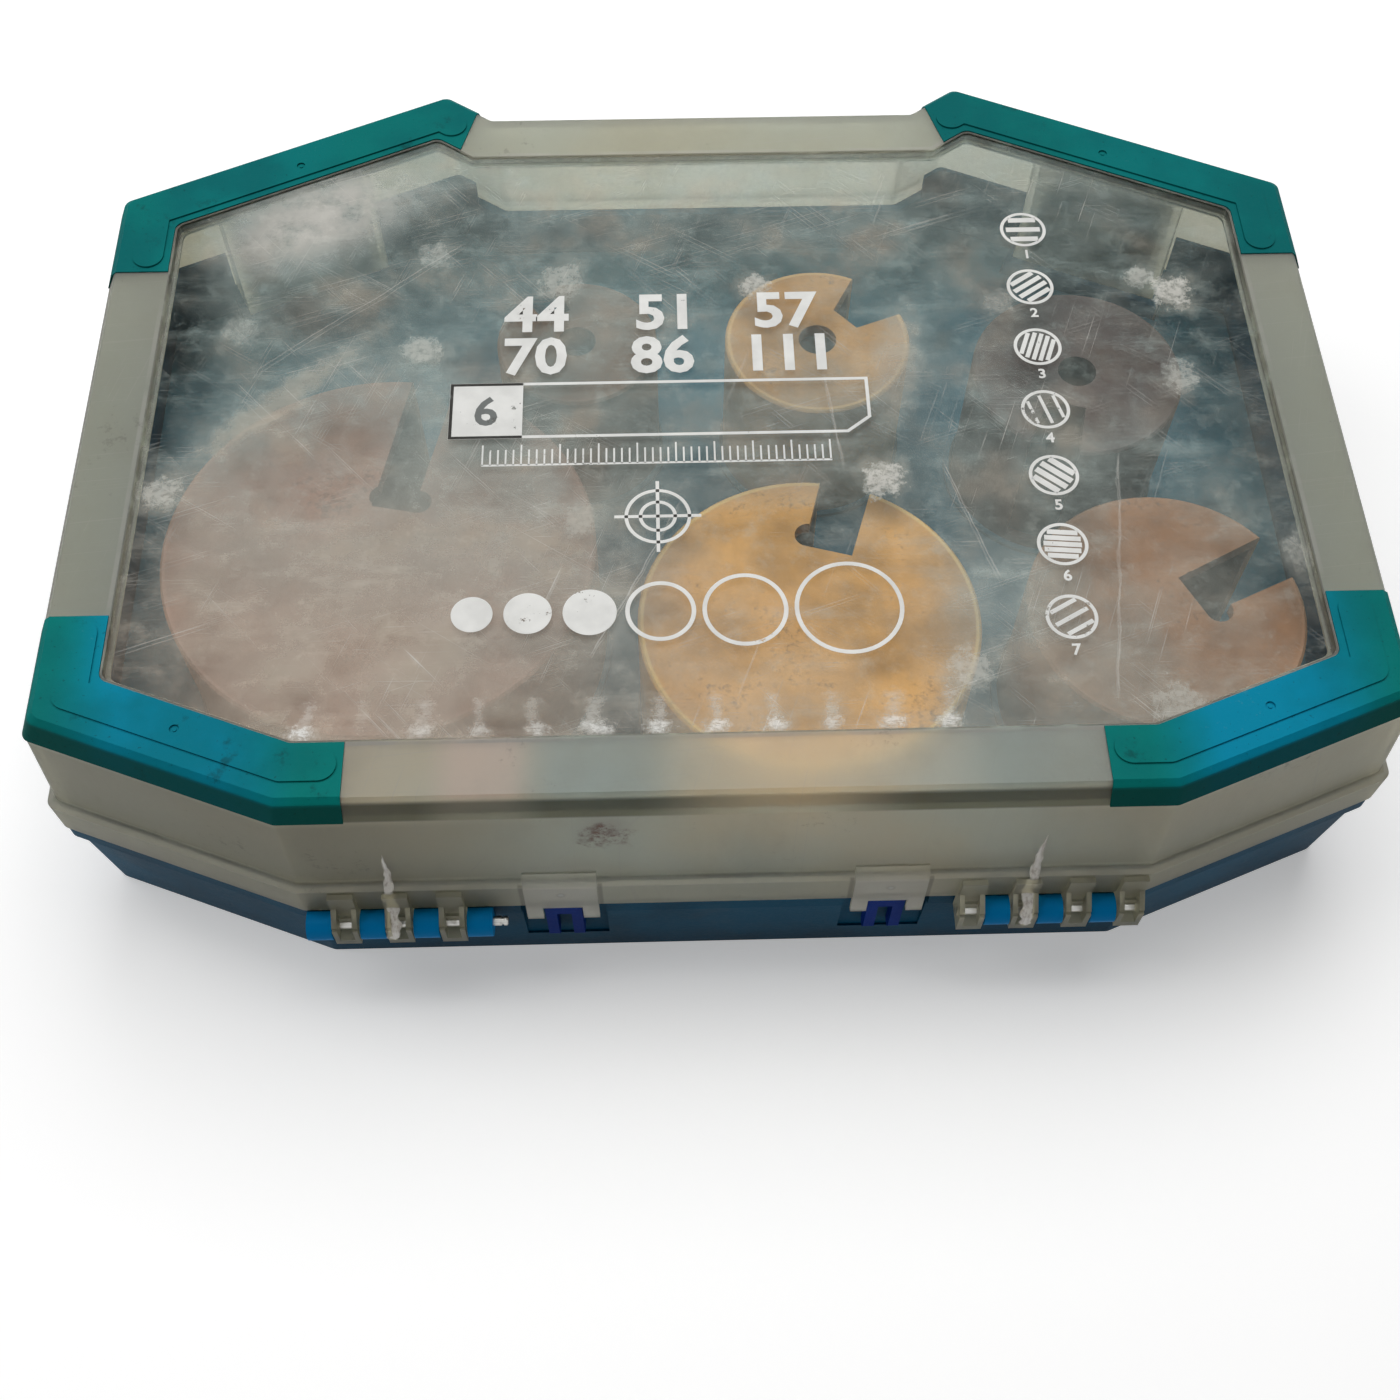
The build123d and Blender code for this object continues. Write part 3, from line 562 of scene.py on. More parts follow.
# ---- materials
def frosted_lid(colours, sizes):
    """Milky plastic, duller away from the near side, with an olive painted shade low on its walls.

    A painted shade darkens the band round its top edge, lighter at two places. The near border has a
    painted grey shade and a painted pink glow of the saw behind it, the tabs beside the hinges are
    whiter, the ledge top has a painted highlight, and the seams, ledge and tabs hold dirt, with a
    painted shade in the corner at the wall's foot.
    """
    paint = Paint("frosted lid plastic")
    outside = outline_distance(paint)
    skirt = paint.y - HINGE_EDGE + SKIRT_OUT
    # strength of the painted shade just below the top edge
    shade_below_edge = paint.z.ramp(80.0, 76.0) * 0.45
    cloud = paint.noise(60, detail=4)
    speck = paint.noise(2.2, detail=6, rough=0.7)
    worn = (paint.noise(9, detail=5) + paint.noise(90, detail=2) * 0.6).ramp(1.0, 1.2)
    paint.shade = paint.blend(cloud.ramp(0.35, 0.7), colours.lid, colours.lid_warm)
    dull = paint.y.ramp(-96.0, -60.0) * (0.6 + paint.z.ramp(50.0, 80.0) * 0.4)
    dull = dull * (1.0 - paint.y.ramp(0.0, 80.0) * 0.45)
    paint.lay(dull, colours.lid_dull)
    rubbed = paint.scratches(0.5, 60, 0.1, 0.64).most(paint.scratches(0.45, 40, 1.3, 0.66, 23.0))
    paint.lay((worn * 0.25).most(rubbed * 0.4), colours.smudge)
    # painted shade: darker low on the walls, and just below the top edge toward the sides and the left
    # end
    low = paint.z.ramp(58.0, 42.0) * 0.5 + abs(paint.x).ramp(50.0, 130.0) * shade_below_edge
    low = low + paint.x.ramp(-20.0, -85.0) * shade_below_edge
    ledge = abs(paint.z - LEDGE_HEIGHT).ramp(2.0, 0.8)
    paint.lay((low * (1.0 - ledge * 0.7)).least(0.85), colours.lid_wall)
    border = outside.ramp(1.0, -0.5) * paint.y.ramp(-96.0, -100.0)
    # painted shade: grey patches on the near border
    grey = highest(paint.stripe(*place) for place in GREY_SHADE_STRIPES) * border
    paint.lay(grey * 0.6, colours.window_haze)
    # painted glow: the pink of the saw behind the near border
    paint.lay(paint.stripe(*PINK_GLOW_STRIPE) * border * 0.8, colours.lid_pink)
    mottle = paint.noise((26.0, 26.0, 60.0), detail=6, rough=0.65).ramp(0.42, 0.72)
    paint.lay(mottle * 0.22, colours.lid_wall)
    band = (paint.z - BAND_FOOT).ramp(-0.3, 0.3) * outside.ramp(0.5, 1.1)
    # painted highlight on the ledge top, where it faces the overhead light
    paint.lay(ledge * (outside - WALL_OUT).ramp(0.1, 0.6) * 0.5, colours.crack)
    # painted shade on the band's outer face below the top edge, left lighter at the two lit stripes
    lit = paint.stripe(*LIT_STRIPE).most(paint.stripe(*FAINT_LIT_STRIPE) * 0.4)
    paint.lay(band * (1.0 - lit * 0.8), colours.lid_edge)
    bright = abs(outside + WINDOW_INSET - 1.0).ramp(0.8, 0.3)
    bright = bright * paint.noise(20, detail=4).ramp(0.35, 0.55)
    paint.lay(bright * 0.85, colours.smudge)
    seam = abs(outside + WINDOW_INSET).ramp(0.55, 0.25) * paint.noise(14, detail=5).ramp(0.3, 0.5)
    # painted shade: a dark line in the corner where the wall meets the ledge, broken by noise like dirt
    foot = abs(paint.z - LEDGE_HEIGHT).ramp(1.0, 0.2) * (outside - WALL_OUT).ramp(0.9, 0.2)
    foot = foot * paint.noise(16, detail=5).ramp(0.42, 0.65)
    flecks = (speck * paint.noise(40)).ramp(0.34, 0.44)
    dirt = (seam + foot * 0.4 + flecks * 0.5).least(1.0)
    paint.lay(dirt * 0.75, colours.grime)
    beside = abs(abs(paint.x) - TAB_X)
    tab = beside.ramp(TAB_HALF, TAB_HALF - 0.4) * skirt.ramp(-0.1, -0.4)
    paint.lay(tab * 0.75, colours.crack)
    around = abs(beside - TAB_HALF - 0.3).ramp(0.9, 0.3) * skirt.ramp(1.0, 0.3)
    paint.lay(around * paint.z.ramp(52.0, 49.0) * 0.6, colours.grime)
    smear = paint.blot(RUST_SMEAR, 9.0, ragged=1.2, grain=4.0, tall=0.7)
    smear = smear * (speck + paint.noise(5) * 0.5).ramp(0.66, 0.86)
    paint.lay(smear * 0.95, colours.rust)
    for x in (-TAB_X, TAB_X):
        face = (x, *TAB_DOT)
        ring = paint.blot(face, 1.7, ragged=0.2, grain=2.0, tall=1.0)
        dot = paint.blot(face, 1.1, ragged=0.1, grain=2.0, tall=1.0)
        paint.lay(ring * 0.4, colours.grime)
        paint.lay(dot, colours.print_white)
    return paint.finish(0.42 + worn * 0.15 + speck * 0.16, relief=speck + worn * 0.4,
                        relief_depth=0.06, Transmission_Weight=sizes.lid_clearness, shine=0.3)


def clear_window(colours, sizes):
    """Clear plastic gone hazy, with chalky marks, scratches and a row of painted glints of the lamps.

    The haze is clouds, wiped streaks and blotches, with clearer and hazier spots and a milky corner;
    toward the near left it is thicker and warmer, partly a painted sheen of the lamps.
    """
    paint = Paint("clear window plastic")
    cloud = paint.noise(48, detail=5, rough=0.62)
    patch = paint.noise(17, detail=6, rough=0.62)
    film = paint.noise(11, detail=6, rough=0.7)
    near = paint.y.ramp(30.0, -100.0)
    left = paint.x.ramp(40.0, -100.0)
    middle = paint.stripe(-10.0, 165.0, 100.0)
    crust, dust = chalk_marks(paint)
    lines = scratch_lines(paint)
    # painted glints of the lamps in a row beside the near seam
    glints = knock_row(paint, sizes.knock_pitch)
    milky = paint.streak(*MILKY_CORNER, ragged=0.45, grain=11.0) * film.ramp(0.2, 0.6)
    clear = 0.0
    for x, y, radius, strength in CLEAR_SPOTS:
        clear = paint.blot((x, y, WINDOW_TOP), radius, ragged=0.5, grain=16.0) * strength + clear
    # haze over the near left, partly a painted sheen of the lamps
    haze_and_sheen_near_left = paint.blot((*HAZE_AND_SHEEN_PLACE, WINDOW_TOP), HAZE_AND_SHEEN_RADIUS, ragged=0.5, grain=20.0)
    clouds = (cloud + patch).ramp(0.7, 1.4)
    edge = 1.0 - (paint.x + 150.0).ramp(22.0, 4.0) * 0.55
    veil = sizes.window_haze * (middle * 0.65 + 0.35) * (0.6 + clouds * 0.9) * (1.0 - clear) * edge
    wiped = paint.noise((34.0, 7.0, 30.0), detail=6, rough=0.72).ramp(0.5, 0.72)
    blotched = paint.noise(6.5, detail=6, rough=0.74).ramp(0.5, 0.68)
    veil = veil + haze_and_sheen_near_left * 0.16 + film.ramp(0.5, 0.8) * 0.05 + milky * 0.34
    veil = (veil + wiped * 0.12 + blotched * 0.1 - 0.045).most(0.02)
    # haze warmer toward the near side and the left, partly a painted sheen of the lamps
    paint.shade = paint.blend(near * (left * 0.6 + 0.3), colours.window_haze, colours.window_warm)
    paint.lay(paint.noise(22, detail=5).ramp(0.5, 0.72) * 0.5, colours.window_brown)
    paint.lay((clouds * patch.ramp(0.45, 0.65)).most(dust) * 0.8, colours.beige)
    paint.lay(crust.most(lines).most(milky), colours.smudge)
    # painted glints of the lamps, white and less clear
    paint.lay(glints, colours.print_white)
    alpha = (veil + dust * 0.22 + crust * 0.5 + lines * 0.2 + glints * 0.5).least(0.95)
    return paint.finish(0.22 + film * 0.25 + crust * 0.3, relief=film * 0.3 + crust - lines * 0.6,
                        relief_depth=0.03, Alpha=alpha, shine=0.3)


def chalk_marks(paint):
    """Where grit has scuffed the window: a crumbly core, dust round it, and long smears."""
    crumbs = paint.noise(1.5, detail=6, rough=0.75).ramp(0.38, 0.54) * 0.75 + 0.25
    crusts, dusts = [], []
    for x, y, radius, strength in CHALK_MARKS:
        place = (x, y, WINDOW_TOP)
        core = paint.blot(place, radius, ragged=1.15, grain=4.2, rough=0.72)
        crusts.append(core.ramp(0.15, 0.75) * strength)
        cloud = paint.blot(place, radius * 1.35, ragged=1.2, grain=9.0)
        dusts.append(cloud * (strength * 0.45 + 0.2))
    for smear in LONG_SMEARS:
        dusts.append(paint.streak(*smear) * 0.8)
    return highest(crusts) * crumbs, highest(dusts)


def scratch_lines(paint):
    """Families of fine parallel scratches, and a few long ones: x is a line in y plus noise."""
    total = highest(paint.scratches(*family) for family in SCRATCH_FAMILIES)
    total = total * paint.noise(30, detail=3).ramp(0.38, 0.6)
    wander = (paint.noise(16) - 0.5) * 3
    for x, low, high, lean in LONG_SCRATCHES:
        across = abs(paint.x - x - (paint.y - (low + high) / 2) * lean - wander)
        line = across.ramp(0.35, 0.1) * (paint.y - low).ramp(0, 5) * (high - paint.y).ramp(0, 5)
        total = total.most(line * 0.8)
    return total


def knock_row(paint, pitch):
    """Bright knocks in a row beside the near seam: each fans out from it, ragged with fine chips.

    Painted glints in a row beside the near seam: each fans out from it, ragged with fine chips.
    """
    low, high, y = GLINT_ROW
    step = pitch / MM
    drift = (paint.noise(17, detail=1) - 0.5) * 10
    turns = paint.math("FRACT", (paint.x + drift - low) / step + 0.5)
    across = (turns - 0.5) * step
    ragged = (paint.noise(1.4, detail=6, rough=0.85) - 0.5) * 2.8
    chips = paint.noise((2.6, 0.7, 3.0), detail=5, rough=0.8).ramp(0.4, 0.5) * 0.7 + 0.3
    fans = []
    for back, wide, deep, strength in GLINT_FANS:
        sideways = across / wide
        along = (paint.y - y - back) / deep
        away = paint.math("SQRT", sideways * sideways + along * along)
        fans.append((away + ragged).ramp(1.0, 0.05) * strength)
    inside = (paint.x - low + step / 2).ramp(0, 1) * (high + step / 2 - paint.x).ramp(0, 1)
    return highest(fans) * chips * inside * paint.noise(24, detail=2).ramp(0.25, 0.55)


def soft_guard(colours):
    """Soft rubber: green-teal at the ends, bluer across the near corners, duller at the far ones.

    Its sides get a painted shade, darker than its top, and it is rubbed paler and dirty in places.
    """
    paint = Paint("soft guard rubber")
    cloud = paint.noise(34, detail=4)
    speck = paint.noise(1.4, detail=6, rough=0.72)
    diagonal = abs(abs(paint.x) - DIAGONAL_X).ramp(33.0, 10.0)
    near = paint.y.ramp(0.0, -60.0)
    bluer = (diagonal * (near * 0.95 + 0.1) * (cloud + 0.4)).least(1.0)
    paint.shade = paint.blend(bluer, colours.guard, colours.guard_blue)
    duller = (cloud.ramp(0.62, 0.35) * 0.4 + (1.0 - near) * 0.3).least(0.8)
    paint.lay(duller, colours.guard_dark)
    # painted shade on the sides, below the top
    paint.lay(paint.z.ramp(84.6, 83.2) * 0.82, colours.guard_side)
    rub = (speck + cloud * 0.5).ramp(0.92, 1.05)
    paint.lay(rub * 0.22, colours.guard_rubbed)
    dirt = (paint.noise(7, detail=6, rough=0.7) + paint.noise(50) * 0.5).ramp(0.84, 1.0)
    grit = paint.noise(1.1, detail=3, rough=0.6).ramp(0.66, 0.72)
    paint.lay((dirt * 0.55).most(grit * 0.5), colours.guard_dirt)
    return paint.finish(0.55 + speck * 0.25 + rub * 0.1, relief=speck + cloud * 0.3,
                        relief_depth=0.1, shine=0.08)


def base_plastic(colours):
    """The base's moulded plastic, with cleaner and brighter knuckles along the hinge axis."""
    paint = Paint("base plastic")
    cloud = paint.noise(40, detail=4)
    speck = paint.noise(1.2, detail=6, rough=0.7)
    scuff = (paint.noise(5, detail=6, rough=0.75) + paint.noise(60) * 0.5).ramp(0.9, 1.02)
    paint.shade = paint.blend(cloud.ramp(0.35, 0.65), colours.base_dark, colours.base)
    knuckle = (KNUCKLE_BACK - paint.y).ramp(0, 0.6) * abs(paint.z - HINGE_HEIGHT).ramp(4.6, 4.0)
    paint.lay(knuckle, colours.knuckle)
    paint.lay(scuff * 0.12, colours.base_scuffed)
    dust = paint.noise(18, detail=6).ramp(0.5, 0.8) * (1 - knuckle)
    paint.lay(dust * 0.08, colours.dust)
    return paint.finish(0.4 + speck * 0.2 + scuff * 0.15, relief=speck, relief_depth=0.08, shine=0.05)


def moulded(colours, kind, wear=0.3, dust=0.25, rough=0.42, shine=0.2):
    """A moulded, used plastic: fine grain, cloudy tone, scuffs and some dust."""
    paint = Paint(f"{kind} plastic")
    shade = getattr(colours, kind)
    cloud = paint.noise(40, detail=4)
    speck = paint.noise(1.2, detail=6, rough=0.7)
    scuff = (paint.noise(5, detail=6, rough=0.75) + paint.noise(60) * 0.5).ramp(0.88, 1.0)
    paint.shade = paint.blend(cloud.ramp(0.35, 0.65), scaled(shade, 0.62), shade)
    paint.lay(scuff * wear, scaled(shade, 0.7, 0.12))
    paint.lay(paint.noise(18, detail=6).ramp(0.5, 0.8) * dust, colours.dust)
    return paint.finish(rough + speck * 0.2 + scuff * 0.15, relief=speck, relief_depth=0.08, shine=shine)


def saw_paint(colours, size):
    """Used enamel on a saw: cloudy tone, dark rubbed patches, dust, pale chips and a painted highlight
    on the rim.
    """
    paint = Paint(f"saw {size} enamel")
    shade = getattr(colours, f"saw_{size}")
    x, y = SAW_PLACES[size]
    across, along = paint.x - x, paint.y - y
    away = paint.math("SQRT", across * across + along * along)
    back = (paint.z - (SAW_TOP - 2.0)).ramp(0, 1)
    # painted highlight: a paler line round the rim of the back, where its edge catches the light
    rim_highlight = abs(away - (size / 2 - 0.9)).ramp(0.9, 0.3) * back
    cloud = paint.noise(22, detail=5)
    speck = paint.noise(2.0, detail=6, rough=0.75)
    paint.shade = paint.blend(cloud.ramp(0.3, 0.7), scaled(shade, 0.5), shade)
    paint.lay((cloud + speck).ramp(1.1, 1.32) * 0.6, colours.saw_rubbed)
    dusty = paint.noise(30, detail=4).ramp(0.5, 0.8) * back
    paint.lay(dusty * 0.25, colours.saw_dust)
    # painted highlight on the rim
    paint.lay(rim_highlight * RIM_HIGHLIGHT.get(size, PLAIN_RIM_HIGHLIGHT), scaled(shade, 1.4, 0.12))
    paint.lay(speck.ramp(0.62, 0.75) * 0.3, colours.saw_chip)
    return paint.finish(0.45 + speck * 0.25, relief=speck + cloud * 0.5, relief_depth=0.12, shine=0.35)


def metal(colours, name, shade, rough=0.3):
    """Drawn or ground metal: fine lines along X and a few rust spots."""
    paint = Paint(name)
    drawn = paint.noise((30, 0.25, 0.25), detail=3)
    spots = paint.noise(3, detail=5).ramp(0.55, 0.75)
    paint.shade = paint.blend(drawn.ramp(0.3, 0.7), scaled(shade, 0.75), shade)
    paint.lay(spots * 0.5, colours.metal_rust)
    return paint.finish(rough + spots * 0.3 + drawn * 0.1, relief=drawn, relief_depth=0.02,
                        Metallic=1.0 - spots * 0.5)


def worn_print(name, ink):
    """Screen print with a few flakes lost."""
    paint = Paint(name)
    flakes = paint.noise(3.2, detail=6, rough=0.75) + paint.noise(30, detail=2) * 0.55
    lost = flakes.ramp(0.93, 0.98)
    paint.shade = paint.blend(paint.noise(8, detail=4).ramp(0.3, 0.7), scaled(ink, 0.85), ink)
    return paint.finish(0.5 + flakes * 0.1, Alpha=(0.96 - lost * 0.96).most(0.0))


def torn_plastic(colours):
    """Whitened, glossy plastic along a crack."""
    paint = Paint("torn plastic")
    streak = paint.noise((1.1, 1.1, 14.0), detail=3, rough=0.5)
    paint.shade = paint.blend(streak.ramp(0.25, 0.6), colours.crack_shade, colours.crack)
    return paint.finish(0.25 + streak * 0.3, relief=streak, relief_depth=0.12, Coat_Weight=0.5)


# ---- operators
class DressOperator:
    """An operator that finishes or adds one kind of piece."""

    bl_options = {"REGISTER", "UNDO"}

    def execute(self, context):
        self.make(context.scene.case_colours, context.scene.case_sizes)
        return {"FINISHED"}


def sides(kind):
    """Names of the left and right node of one kind."""
    return f"{kind}_left", f"{kind}_right"


class CASE_OT_lid(DressOperator, bpy.types.Operator):
    """Finish the frosted lid shell with its seams, wear and specks"""

    bl_idname = "saw_case.lid"
    bl_label = "Lid shell"

    def make(self, colours, sizes):
        dress(frosted_lid(colours, sizes), "lid_shell")


class CASE_OT_cracks(DressOperator, bpy.types.Operator):
    """Add the torn edges of the two cracks that rise from the hinges"""

    bl_idname = "saw_case.cracks"
    bl_label = "Cracks"

    def make(self, colours, sizes):
        material = torn_plastic(colours)
        for name, foot, head, top in CRACKS:
            points, faces = torn_edge(foot, head, top, sizes.crack_width / MM)
            piece(name, points * MM, faces, material, "lid", "lid_plastic")


def torn_edge(foot, head, top, width, steps=72, around=10):
    """A closed ridge carried up the outside of the lid: a knuckle, the skirt, the ledge and the wall.

    Its middle line joins six places on those surfaces, its section is a low oval that narrows to both
    ends, and sums of sines move it sideways and change its width.
    """
    skirt = HINGE_EDGE - SKIRT_OUT
    slope = (WALL_OUT - BAND_OUT) / (BAND_FOOT - LEDGE_HEIGHT)
    wall_top = HINGE_EDGE - WALL_OUT + (top - LEDGE_HEIGHT) * slope
    low, middle, high = CRACK_BENDS
    knuckle = skirt - KNUCKLE_OUT
    corners = np.array([(knuckle, low), (knuckle, middle), (skirt, high), (skirt, LEDGE_HEIGHT - 1.0),
                        (HINGE_EDGE - WALL_OUT, LEDGE_HEIGHT + 0.6), (wall_top, top)])
    run = np.concatenate(([0], np.cumsum(np.linalg.norm(np.diff(corners, axis=0), axis=1))))
    t = np.linspace(0, 1, steps)
    y = np.interp(t * run[-1], run, corners[:, 0])
    z = np.interp(t * run[-1], run, corners[:, 1])
    wave = np.sin(13 * t + foot) + 0.6 * np.sin(31 * t + 2 * foot) + 0.4 * np.sin(67 * t)
    x = foot + (head - foot) * t + 0.35 * wave * (1.2 - t)
    half = width / 2 * np.sqrt(np.clip(t * 18, 0, 1)) * (1 - t ** 2.2)
    half = half * (1 + 0.16 * np.sin(47 * t + foot))
    half = np.where(t == 1, 0.05, np.maximum(half, 0.05))
    height = 0.28 * half + 0.05
    turns = np.linspace(0, 2 * math.pi, around, endpoint=False)
    across = half[:, None] * np.cos(turns)
    out = height[:, None] * np.sin(turns) * (1 + 0.3 * np.sin(5 * across + 9 * t[:, None]))
    points = np.stack((x[:, None] + across, y[:, None] - out, z[:, None] + 0 * out), -1)
    faces = tube_faces(steps, around)
    ends = [list(range(around))[::-1], list(range((steps - 1) * around, steps * around))]
    return points, faces + ends


class CASE_OT_window(DressOperator, bpy.types.Operator):
    """Finish the window: haze, chalky marks, scratches and the row of painted glints beside its near
    seam
    """

    bl_idname = "saw_case.window"
    bl_label = "Window"

    def make(self, colours, sizes):
        dress(clear_window(colours, sizes), "lid_window")


class CASE_OT_guards(DressOperator, bpy.types.Operator):
    """Finish the four soft corner guards"""

    bl_idname = "saw_case.guards"
    bl_label = "Corner guards"

    def make(self, colours, sizes):
        dress(soft_guard(colours), *sides("corner_guard_hinge"), *sides("corner_guard_handle"))


class CASE_OT_base(DressOperator, bpy.types.Operator):
    """Finish the base shell, the tray, the keepers, the latches and the carry handle"""

    bl_idname = "saw_case.base"
    bl_label = "Base, tray and fittings"

    def make(self, colours, sizes):
        dress(base_plastic(colours), "base_shell")
        dress(moulded(colours, "tray", dust=0.4, rough=0.5), "tray_insert")
        keeper = moulded(colours, "keeper", wear=0.02, dust=0.0, shine=0.04)
        dress(keeper, *sides("hinge_side_keeper"))
        dress(moulded(colours, "latch", dust=0.15), *sides("latch"), "carry_handle")


class CASE_OT_pins(DressOperator, bpy.types.Operator):
    """Finish the steel pins"""

    bl_idname = "saw_case.pins"
    bl_label = "Pins"

    def make(self, colours, sizes):
        steel = metal(colours, "pin steel", colours.steel)
        dress(steel, *sides("hinge_pin"), *sides("handle_pin"), *sides("latch_pin"))


class CASE_OT_saws(DressOperator, bpy.types.Operator):
    """Finish the six hole saws and their tips"""

    bl_idname = "saw_case.saws"
    bl_label = "Saws"

    def make(self, colours, sizes):
        tips = metal(colours, "ground carbide", colours.carbide, rough=0.45)
        for size in SAW_SIZES:
            dress(saw_paint(colours, size), f"hole_saw_{size}")
            dress(tips, f"saw_teeth_{size}")


class CASE_OT_print(DressOperator, bpy.types.Operator):
    """Print plain marks on the window: saw sizes as numbers, a framed bar, a scale and hatched rings"""

    bl_idname = "saw_case.print"
    bl_label = "Window print"

    def make(self, colours, sizes):
        top = WINDOW_TOP * MM + sizes.print_depth
        flat = {"top": top, "depth": sizes.print_depth}
        marks = size_numbers(sizes.digit_height, flat) + frame_bar(sizes.print_line, flat)
        marks += fine_scale(flat) + target_mark(sizes.print_line, flat) + growing_rings(flat)
        for k in range(sizes.ring_count):
            marks += hatched_ring(k, sizes.ring_radius, sizes.print_line, flat)
        points, faces = joined(marks)
        piece("window_print", points, faces, worn_print("white print", colours.print_white), "lid",
              "window_plastic")
        count = str(len(SAW_SIZES))
        digit = number_print(count, COUNT_HEIGHT * MM, np.array(COUNT_PLACE) * MM,
                             top + sizes.print_depth, sizes.print_depth, weight=0.25 * MM)
        piece("window_print_count", *digit, worn_print("grey print", colours.print_grey), "lid",
              "window_plastic")


def size_numbers(height, flat):
    """The saws' sizes in two rows of large plain numbers."""
    marks = []
    for row, y in zip((SAW_SIZES[:3], SAW_SIZES[3:]), NUMBER_ROWS):
        for x, size in zip(NUMBER_COLUMNS, row):
            centre = np.array((x, y)) * MM
            marks.append(number_print(str(size), height, centre, weight=0.5 * MM, **flat))
    return marks


def frame_bar(line, flat):
    """A closed line round a bar with one corner cut, and a solid block at its left end."""
    (left, low), (right, high) = BAR_LOW, BAR_HIGH
    cut_x, cut_y = BAR_CUT
    path = [(left, low), (right - cut_x, low), (right, low + cut_y), (right, high), (left, high)]
    start, foot, head = left - BLOCK_OVERLAP, low - BLOCK_OVERLAP, high + BLOCK_OVERLAP
    block = [(start, foot), (BLOCK_END, foot), (BLOCK_END, head), (start, head)]
    return [line_print(np.array(path) * MM, line, **flat), patch_print(np.array(block) * MM, **flat)]


def fine_scale(flat):
    """A scale of fine strokes on a line, each fifth one longer."""
    x, y = SCALE_START
    marks = []
    for k in range(SCALE_STROKES):
        foot = np.array((x + k * SCALE_STEP, y))
        head = foot + (0, 6.6 if k % 5 == 0 else 5.0)
        marks.append(bar_print(foot * MM, head * MM, 0.45 * MM, **flat))
    ends = np.array(((x - 0.3, y), (x + (SCALE_STROKES - 1) * SCALE_STEP + 0.3, y)))
    marks.append(bar_print(*(ends * MM), 0.6 * MM, **flat))
    return marks


def target_mark(line, flat):
    """Two rings and a cross: the sign for a hole's middle."""
    centre = np.array(TARGET_PLACE) * MM
    marks = [line_print(circle(centre, radius * MM), line, **flat) for radius in TARGET_RADII]
    for along in np.eye(2) * TARGET_REACH * MM:
        marks.append(bar_print(centre - along, centre + along, line, **flat))
    return marks


def growing_rings(flat):
    """A row of discs and rings, one for each saw, each as much wider as its saw is."""
    marks = []
    x, y = GROWING_START
    for k, size in enumerate(SAW_SIZES):
        radius = size / GROWING_SHARE
        x += radius
        outline = circle(np.array((x, y)) * MM, radius * MM)
        if k < 3:
            marks.append(patch_print(outline, **flat))
        else:
            marks.append(line_print(outline, 1.1 * MM, **flat))
        x += radius + GROWING_GAP
    return marks


def hatched_ring(k, radius, line, flat):
    """A ring in the column, its strokes turned and spaced anew from ring to ring, its number below."""
    centre = (np.array(COLUMN_TOP) + np.array(COLUMN_STEP) * k) * MM
    marks = [line_print(circle(centre, radius), line, **flat)]
    turn = math.radians(35 * k)
    along = np.array([math.cos(turn), math.sin(turn)])
    side = np.array([-along[1], along[0]])
    wide = line * (1.9 - 0.3 * (k % 4))
    for step in np.linspace(-0.6, 0.6, 3 + k % 3):
        half = radius * math.sqrt(1 - step * step) * 0.8
        middle = centre + side * step * radius
        marks.append(bar_print(middle - along * half, middle + along * half, wide, **flat))
    below = centre - (0, radius + 3.4 * MM)
    marks.append(number_print(str(k + 1), 3.2 * MM, below, weight=0.12 * MM, **flat))
    return marks


class CASE_OT_stage(bpy.types.Operator):
    """Set the pale floor, the soft light and the camera"""

    bl_idname = "saw_case.stage"
    bl_label = "Stage"
    bl_options = {"REGISTER", "UNDO"}

    def execute(self, context):
        stage = context.scene.case_stage
        scene = context.scene
        set_camera(scene, stage)
        set_floor(stage)
        set_light(scene, stage)
        scene.view_settings.view_transform = "Standard"
        return {"FINISHED"}


def set_camera(scene, stage):
    """Camera from yaw, pitch and roll: forward, then right and up turned about it by the roll."""
    level = math.cos(stage.pitch)
    forward = Vector((math.sin(stage.yaw) * level, math.cos(stage.yaw) * level, -math.sin(stage.pitch)))
    right = forward.cross(Vector((0, 0, 1))).normalized()
    up = right.cross(forward)
    turned_right = right * math.cos(stage.roll) + up * math.sin(stage.roll)
    turned_up = up * math.cos(stage.roll) - right * math.sin(stage.roll)
    lens = bpy.data.cameras.new("camera")
    lens.lens = stage.lens
    lens.sensor_width = 36
    camera = add_object("camera", lens)
    turn = Matrix((turned_right, turned_up, -forward)).transposed()
    camera.matrix_world = Matrix.Translation(stage.camera_place) @ turn.to_4x4()
    scene.camera = camera


def seen_directly(tree):
    """1 for rays from the camera, from a mirror or through glass, which see plain white."""
    rays = tree.nodes.new("ShaderNodeLightPath")
    total = rays.outputs["Is Camera Ray"]
    for kind in ("Is Glossy Ray", "Is Transmission Ray"):
        most = tree.nodes.new("ShaderNodeMath")
        most.operation = "MAXIMUM"
        tree.links.new(total, most.inputs[0])
        tree.links.new(rays.outputs[kind], most.inputs[1])
        total = most.outputs[0]
    return total


def set_floor(stage):
    """A pale floor that keeps shadows and fades into the white surroundings away from the case."""
    paint = Paint("pale floor")
    away = paint.length(paint.place)
    paint.shade = stage.floor_colour
    paint.finish(0.9, shine=0.0, Emission_Color=(1, 1, 1),
                 Alpha=away.ramp(stage.floor_reach / MM, 0.4 * stage.floor_reach / MM))
    seen = Wire(paint, seen_directly(paint.tree))
    paint.feed(paint.shader.inputs["Emission Strength"], seen * stage.floor_glow)
    side = stage.floor_reach * 1.1
    mesh = bpy.data.meshes.new("floor")
    corners = [(-side, -side, 0), (side, -side, 0), (side, side, 0), (-side, side, 0)]
    mesh.from_pydata(corners, [], [(0, 1, 2, 3)])
    mesh.materials.append(paint.material)
    add_object("floor", mesh)


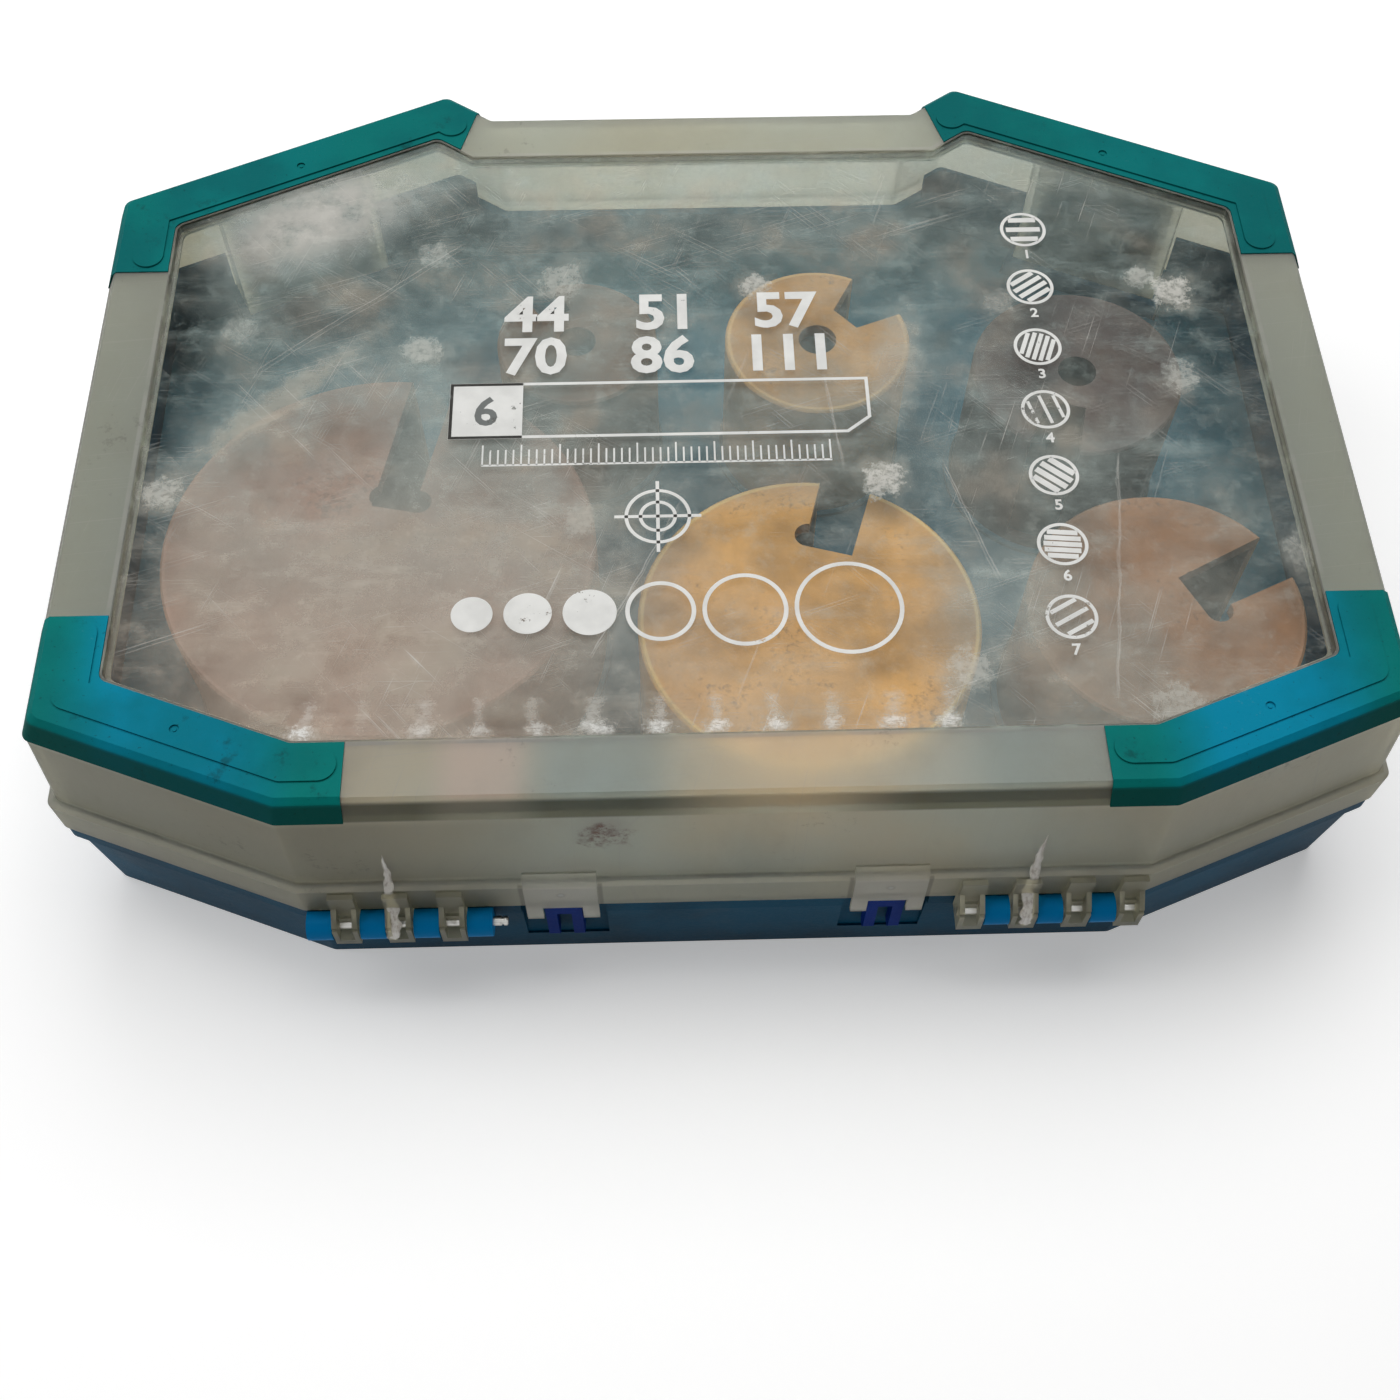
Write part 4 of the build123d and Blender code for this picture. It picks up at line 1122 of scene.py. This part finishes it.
def set_light(scene, stage):
    """White surroundings, which light the case only dimly, and two soft boxes."""
    world = bpy.data.worlds.new("room")
    world.use_nodes = True
    background = world.node_tree.nodes["Background"]
    background.inputs["Color"].default_value = (1, 1, 1, 1)
    strength = world.node_tree.nodes.new("ShaderNodeMapRange")
    strength.inputs["To Min"].default_value = stage.sky_strength
    world.node_tree.links.new(seen_directly(world.node_tree), strength.inputs["Value"])
    world.node_tree.links.new(strength.outputs[0], background.inputs["Strength"])
    scene.world = world
    for name, place, size, part in SOFT_BOXES:
        lamp = bpy.data.lights.new(name, "AREA")
        lamp.size = size
        lamp.energy = stage.lamp_power * part
        thing = add_object(name, lamp)
        thing.location = place
        turn = (Vector(LIGHT_AIM) - Vector(place)).to_track_quat("-Z", "Y")
        thing.rotation_euler = turn.to_euler()


class CASE_PT_panel(bpy.types.Panel):
    """Sidebar panel that lists the case's finishes"""

    bl_label = "Saw case"
    bl_space_type = "VIEW_3D"
    bl_region_type = "UI"
    bl_category = "Saw case"

    def draw(self, context):
        for operator in OPERATORS:
            self.layout.operator(operator.bl_idname)
        for group in (context.scene.case_colours, context.scene.case_sizes, context.scene.case_stage):
            for name in group.__annotations__:
                self.layout.prop(group, name)


OPERATORS = (CASE_OT_lid, CASE_OT_cracks, CASE_OT_window, CASE_OT_guards, CASE_OT_base, CASE_OT_pins,
             CASE_OT_saws, CASE_OT_print, CASE_OT_stage)
CLASSES = (CaseColours, CaseSizes, StageSetup, *OPERATORS, CASE_PT_panel)


def register():
    for cls in CLASSES:
        bpy.utils.register_class(cls)
    bpy.types.Scene.case_colours = PointerProperty(type=CaseColours)
    bpy.types.Scene.case_sizes = PointerProperty(type=CaseSizes)
    bpy.types.Scene.case_stage = PointerProperty(type=StageSetup)


def unregister():
    del bpy.types.Scene.case_colours, bpy.types.Scene.case_sizes, bpy.types.Scene.case_stage
    for cls in reversed(CLASSES):
        bpy.utils.unregister_class(cls)


def main():
    register()
    for operator in OPERATORS:
        group, name = operator.bl_idname.split(".")
        getattr(getattr(bpy.ops, group), name)()


if __name__ == "__main__":
    main()
